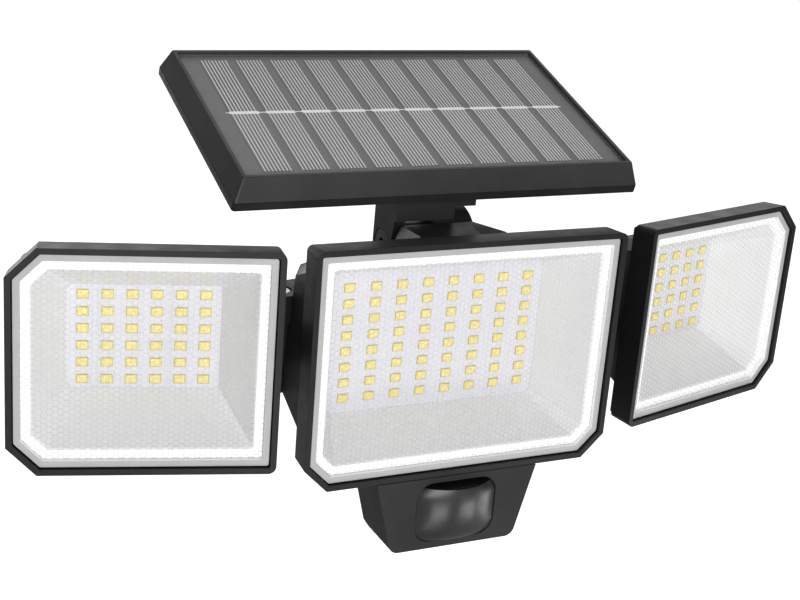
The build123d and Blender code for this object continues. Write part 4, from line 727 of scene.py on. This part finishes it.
def sensor_dome():
    """The dome's sheet, given a wall and finely rounded edges."""
    work = bmesh.new()
    grid = [[work.verts.new(Vector((x, WINDOW_MIDDLE + up, -depth)) * MM) for x, depth, up in row]
            for row in dome_rows()]
    for upper, lower in zip(grid, grid[1:]):
        for k in range(len(upper) - 1):
            work.faces.new((upper[k], upper[k + 1], lower[k + 1], lower[k]))
    bmesh.ops.remove_doubles(work, verts=work.verts, dist=FINE_WELD)
    bmesh.ops.recalc_face_normals(work, faces=work.faces)
    for face in work.faces:
        face.smooth = True
    piece = new_piece(work, "sensor_dome_shell", [dome_black], "upright")
    link_piece(piece, ["sensor_dome"], "housing", "black_dome")
    wall = piece.modifiers.new("wall", "SOLIDIFY")
    wall.thickness, wall.offset = DOME_WALL * MM, -1
    edge = piece.modifiers.new("edge", "BEVEL")
    edge.width, edge.segments = DOME_EDGE * MM, 3
    edge.limit_method, edge.angle_limit = "ANGLE", DOME_SHARP
    even = piece.modifiers.new("even_shading", "WEIGHTED_NORMAL")
    even.keep_sharp = False
    bake_modifiers(piece)
    return piece


print("dome faces", len(sensor_dome().data.polygons))

# %% [markdown]
# ## Silver lines on the solar cells
# Each cell strip has eight thin silver fingers that gather its current, and one bright ribbon joins the
# strips across the middle.  They are printed or soldered on top of the silicon, so they are thin bars.

# %% Fingers and ribbon
STRIPS, STRIP_PITCH, STRIP_MIDDLE, STRIP_WIDTH = 10, 17.27, 0.58, 14.0
FINGERS, FINGER_PITCH, FINGER_WIDTH = 8, 1.655, 0.42
FINGER_LOW, FINGER_HIGH, RIBBON_Y, RIBBON_WIDTH = -46.4, 48.5, 1.2, 2.1
CELL_TOP = -2.5                  # the cells' face below the panel's rim
BAR_SINK, FINGER_RISE, RIBBON_RISE, LINK_RISE, LINK_HALF = 0.02, 0.03, 0.08, 0.06, 0.3
MOST_ALONG, LEAST_ACROSS = 3.0, 1.0      # a ribbon's face is short along the strips and long across them


def add_bar(work, x0, x1, y0, y1, z0, z1):
    """Add a straight bar, given by its sides in millimetres."""
    corners = [work.verts.new(Vector((x, y, z)) * MM)
               for z in (z0, z1) for x, y in ((x0, y0), (x1, y0), (x1, y1), (x0, y1))]
    for a, b, c, d in ((0, 3, 2, 1), (4, 5, 6, 7), (0, 1, 5, 4), (1, 2, 6, 5), (2, 3, 7, 6), (3, 0, 4, 7)):
        work.faces.new((corners[a], corners[b], corners[c], corners[d]))


def silver_lines():
    """All the fingers and the ribbon, as one mesh of thin bars."""
    work = bmesh.new()
    sunk = CELL_TOP - BAR_SINK
    for strip in range(STRIPS):
        middle = STRIP_MIDDLE + (strip - (STRIPS - 1) / 2) * STRIP_PITCH
        for finger in range(FINGERS):
            x = middle + (finger - (FINGERS - 1) / 2) * FINGER_PITCH
            add_bar(work, x - FINGER_WIDTH / 2, x + FINGER_WIDTH / 2, FINGER_LOW, FINGER_HIGH,
                    sunk, CELL_TOP + FINGER_RISE)
        add_bar(work, middle - STRIP_WIDTH / 2, middle + STRIP_WIDTH / 2, RIBBON_Y - RIBBON_WIDTH / 2,
                RIBBON_Y + RIBBON_WIDTH / 2, sunk, CELL_TOP + RIBBON_RISE)
    end = STRIPS / 2 * STRIP_PITCH
    add_bar(work, STRIP_MIDDLE - end, STRIP_MIDDLE + end, RIBBON_Y - LINK_HALF, RIBBON_Y + LINK_HALF,
            sunk, CELL_TOP + LINK_RISE)
    piece = new_piece(work, "silver_lines", [silver_print, tinned_ribbon_painted_shine], "panel")
    mesh = piece.data
    for face in mesh.polygons:
        across = [mesh.vertices[v].co.x for v in face.vertices]
        along = [mesh.vertices[v].co.y for v in face.vertices]
        short = max(along) - min(along) < MOST_ALONG * MM
        wide = max(across) - min(across) > LEAST_ACROSS * MM
        face.material_index = 1 if short and wide else 0
    link_piece(piece, [], "panel", "cells")
    return piece


print("silver bars", len(silver_lines().data.polygons) // 6)

# %% [markdown]
# ## Finishes for the pieces that stay as they are
# The rest of the CAD pieces keep their shape: seals, boards, screws, cells and glass.  Each could be given
# its finish by name, but the record already says what each is made of, so one table from material to
# finish covers them all.

# %% Finish the other nodes
FINISHES = {"grey_rubber": seal_silicone, "led_board": board_white, "steel": zinc_plate,
            "green_board": mask_green, "chips": chip_plastic, "battery": battery_sleeve,
            "panel_glass": panel_pane, "cells": cell_silicon, "backing": backing_sheet,
            "black_plastic": bracket_plastic, "pir": detector_can, "black_steel": black_plate}
for name, node in frame["nodes"].items():
    if not node.hide_render:
        node.data.materials.clear()
        node.data.materials.append(FINISHES[slot_of_node[name]])
        for face in node.data.polygons:
            face.material_index = 0
print("plain nodes finished", len([n for n in frame["nodes"].values() if not n.hide_render]))

# %% [markdown]
# ## Studio
# The picture was taken in soft light on white.  The floor is far below, as the light hangs on a wall.  A
# large lamp beside the camera lights the faces, one from above lights the panel, and two behind draw the
# pale line along the lamps' top edges.  Three small lamps low in front are the soft spots that the black
# dome shows.  The world fills the shadows, and for the camera and through glass it is plain white.  A white
# room would do it too, but its walls would shine in every glossy piece.

# %% Floor
scene = bpy.context.scene
scene.view_settings.view_transform = "Standard"
FLOOR_Z, FLOOR_RADIUS, FLOOR_GLOW = -0.42, 12.0, 0.85


def pale_floor():
    """A wide white floor that still takes the shadow."""
    finish, tree, shader = start_finish("pale_floor")
    uneven_tone(tree, shader, speckle(tree, 120.0), (0.58, 0.58, 0.58), (0.61, 0.61, 0.61))
    shader.inputs["Roughness"].default_value = 0.9
    shader.inputs["Specular IOR Level"].default_value = 0.1
    path = add_node(tree, "ShaderNodeLightPath")
    shader.inputs["Emission Color"].default_value = (1, 1, 1, 1)
    lift = add_node(tree, "ShaderNodeMath", {0: path.outputs["Is Camera Ray"], 1: FLOOR_GLOW},
                    operation="MULTIPLY")
    tree.links.new(lift.outputs[0], shader.inputs["Emission Strength"])
    work = bmesh.new()
    bmesh.ops.create_circle(work, cap_ends=True, segments=96, radius=FLOOR_RADIUS)
    mesh = bpy.data.meshes.new("pale_floor")
    work.to_mesh(mesh)
    work.free()
    mesh.materials.append(finish)
    floor = bpy.data.objects.new("pale_floor", mesh)
    floor.location.z = FLOOR_Z
    scene.collection.objects.link(floor)


pale_floor()
print("floor at", FLOOR_Z, "m")

# %% World
WORLD_FILL = 0.3


def white_world(fill):
    """Plain white for the camera and through glass, and a soft fill for everything else."""
    world = bpy.data.worlds.new("white_studio")
    scene.world = world
    world.use_nodes = True
    tree = world.node_tree
    tree.nodes.clear()
    path = add_node(tree, "ShaderNodeLightPath")
    rays = {0: path.outputs["Is Camera Ray"], 1: path.outputs["Is Transmission Ray"]}
    seen = add_node(tree, "ShaderNodeMath", rays, operation="MAXIMUM").outputs[0]
    soft = add_node(tree, "ShaderNodeBackground", {"Color": (1, 1, 1, 1), "Strength": fill})
    plain = add_node(tree, "ShaderNodeBackground", {"Color": (1, 1, 1, 1), "Strength": 1.0})
    mix = add_node(tree, "ShaderNodeMixShader", {0: seen, 1: soft.outputs[0], 2: plain.outputs[0]})
    out = add_node(tree, "ShaderNodeOutputWorld")
    tree.links.new(mix.outputs[0], out.inputs["Surface"])


white_world(WORLD_FILL)
print("world fills the shadows with", WORLD_FILL)

# %% Lamps
MIDDLE_OF_LIGHT, SENSOR_DOME, DOME_RIGHT = (0, -0.1, 0.1), (0, -0.165, -0.02), (0.01, -0.165, -0.02)
# place, target, width and height in metres, then watts
LAMPS = {"front_lamp": ((-0.45, -2.2, 0.4), (0, -0.1, 0.05), (1.8, 1.5), 43.0),
         "top_lamp": ((0.5, 0.9, 1.9), MIDDLE_OF_LIGHT, (1.6, 1.2), 8.3),
         "back_lamp": ((0.7, 1.6, 0.68), MIDDLE_OF_LIGHT, (2.4, 0.55), 5.8),
         "corner_lamp": ((-0.15, 1.9, 0.05), (-0.15, -0.1, 0.1), (0.9, 0.6), 4.2),
         "dome_lamp_left": ((-0.09, -0.72, -0.36), SENSOR_DOME, (0.28, 0.13), 0.45),
         "dome_lamp_middle": ((0.38, -0.6, -0.35), SENSOR_DOME, (0.28, 0.13), 0.5),
         "dome_lamp_right": ((0.66, -0.36, -0.34), DOME_RIGHT, (0.3, 0.2), 0.55)}


def softbox(name, place, target, size, watts):
    """A rectangular lamp that looks at a target and isn't seen itself."""
    lamp = bpy.data.lights.new(name, "AREA")
    lamp.shape, lamp.energy = "RECTANGLE", watts
    lamp.size, lamp.size_y = size
    holder = bpy.data.objects.new(name, lamp)
    holder.location = place
    holder.rotation_euler = (Vector(target) - Vector(place)).to_track_quat("-Z", "Y").to_euler()
    holder.visible_camera = False
    scene.collection.objects.link(holder)


for name, settings in LAMPS.items():
    softbox(name, *settings)
print("lamps", len(LAMPS))
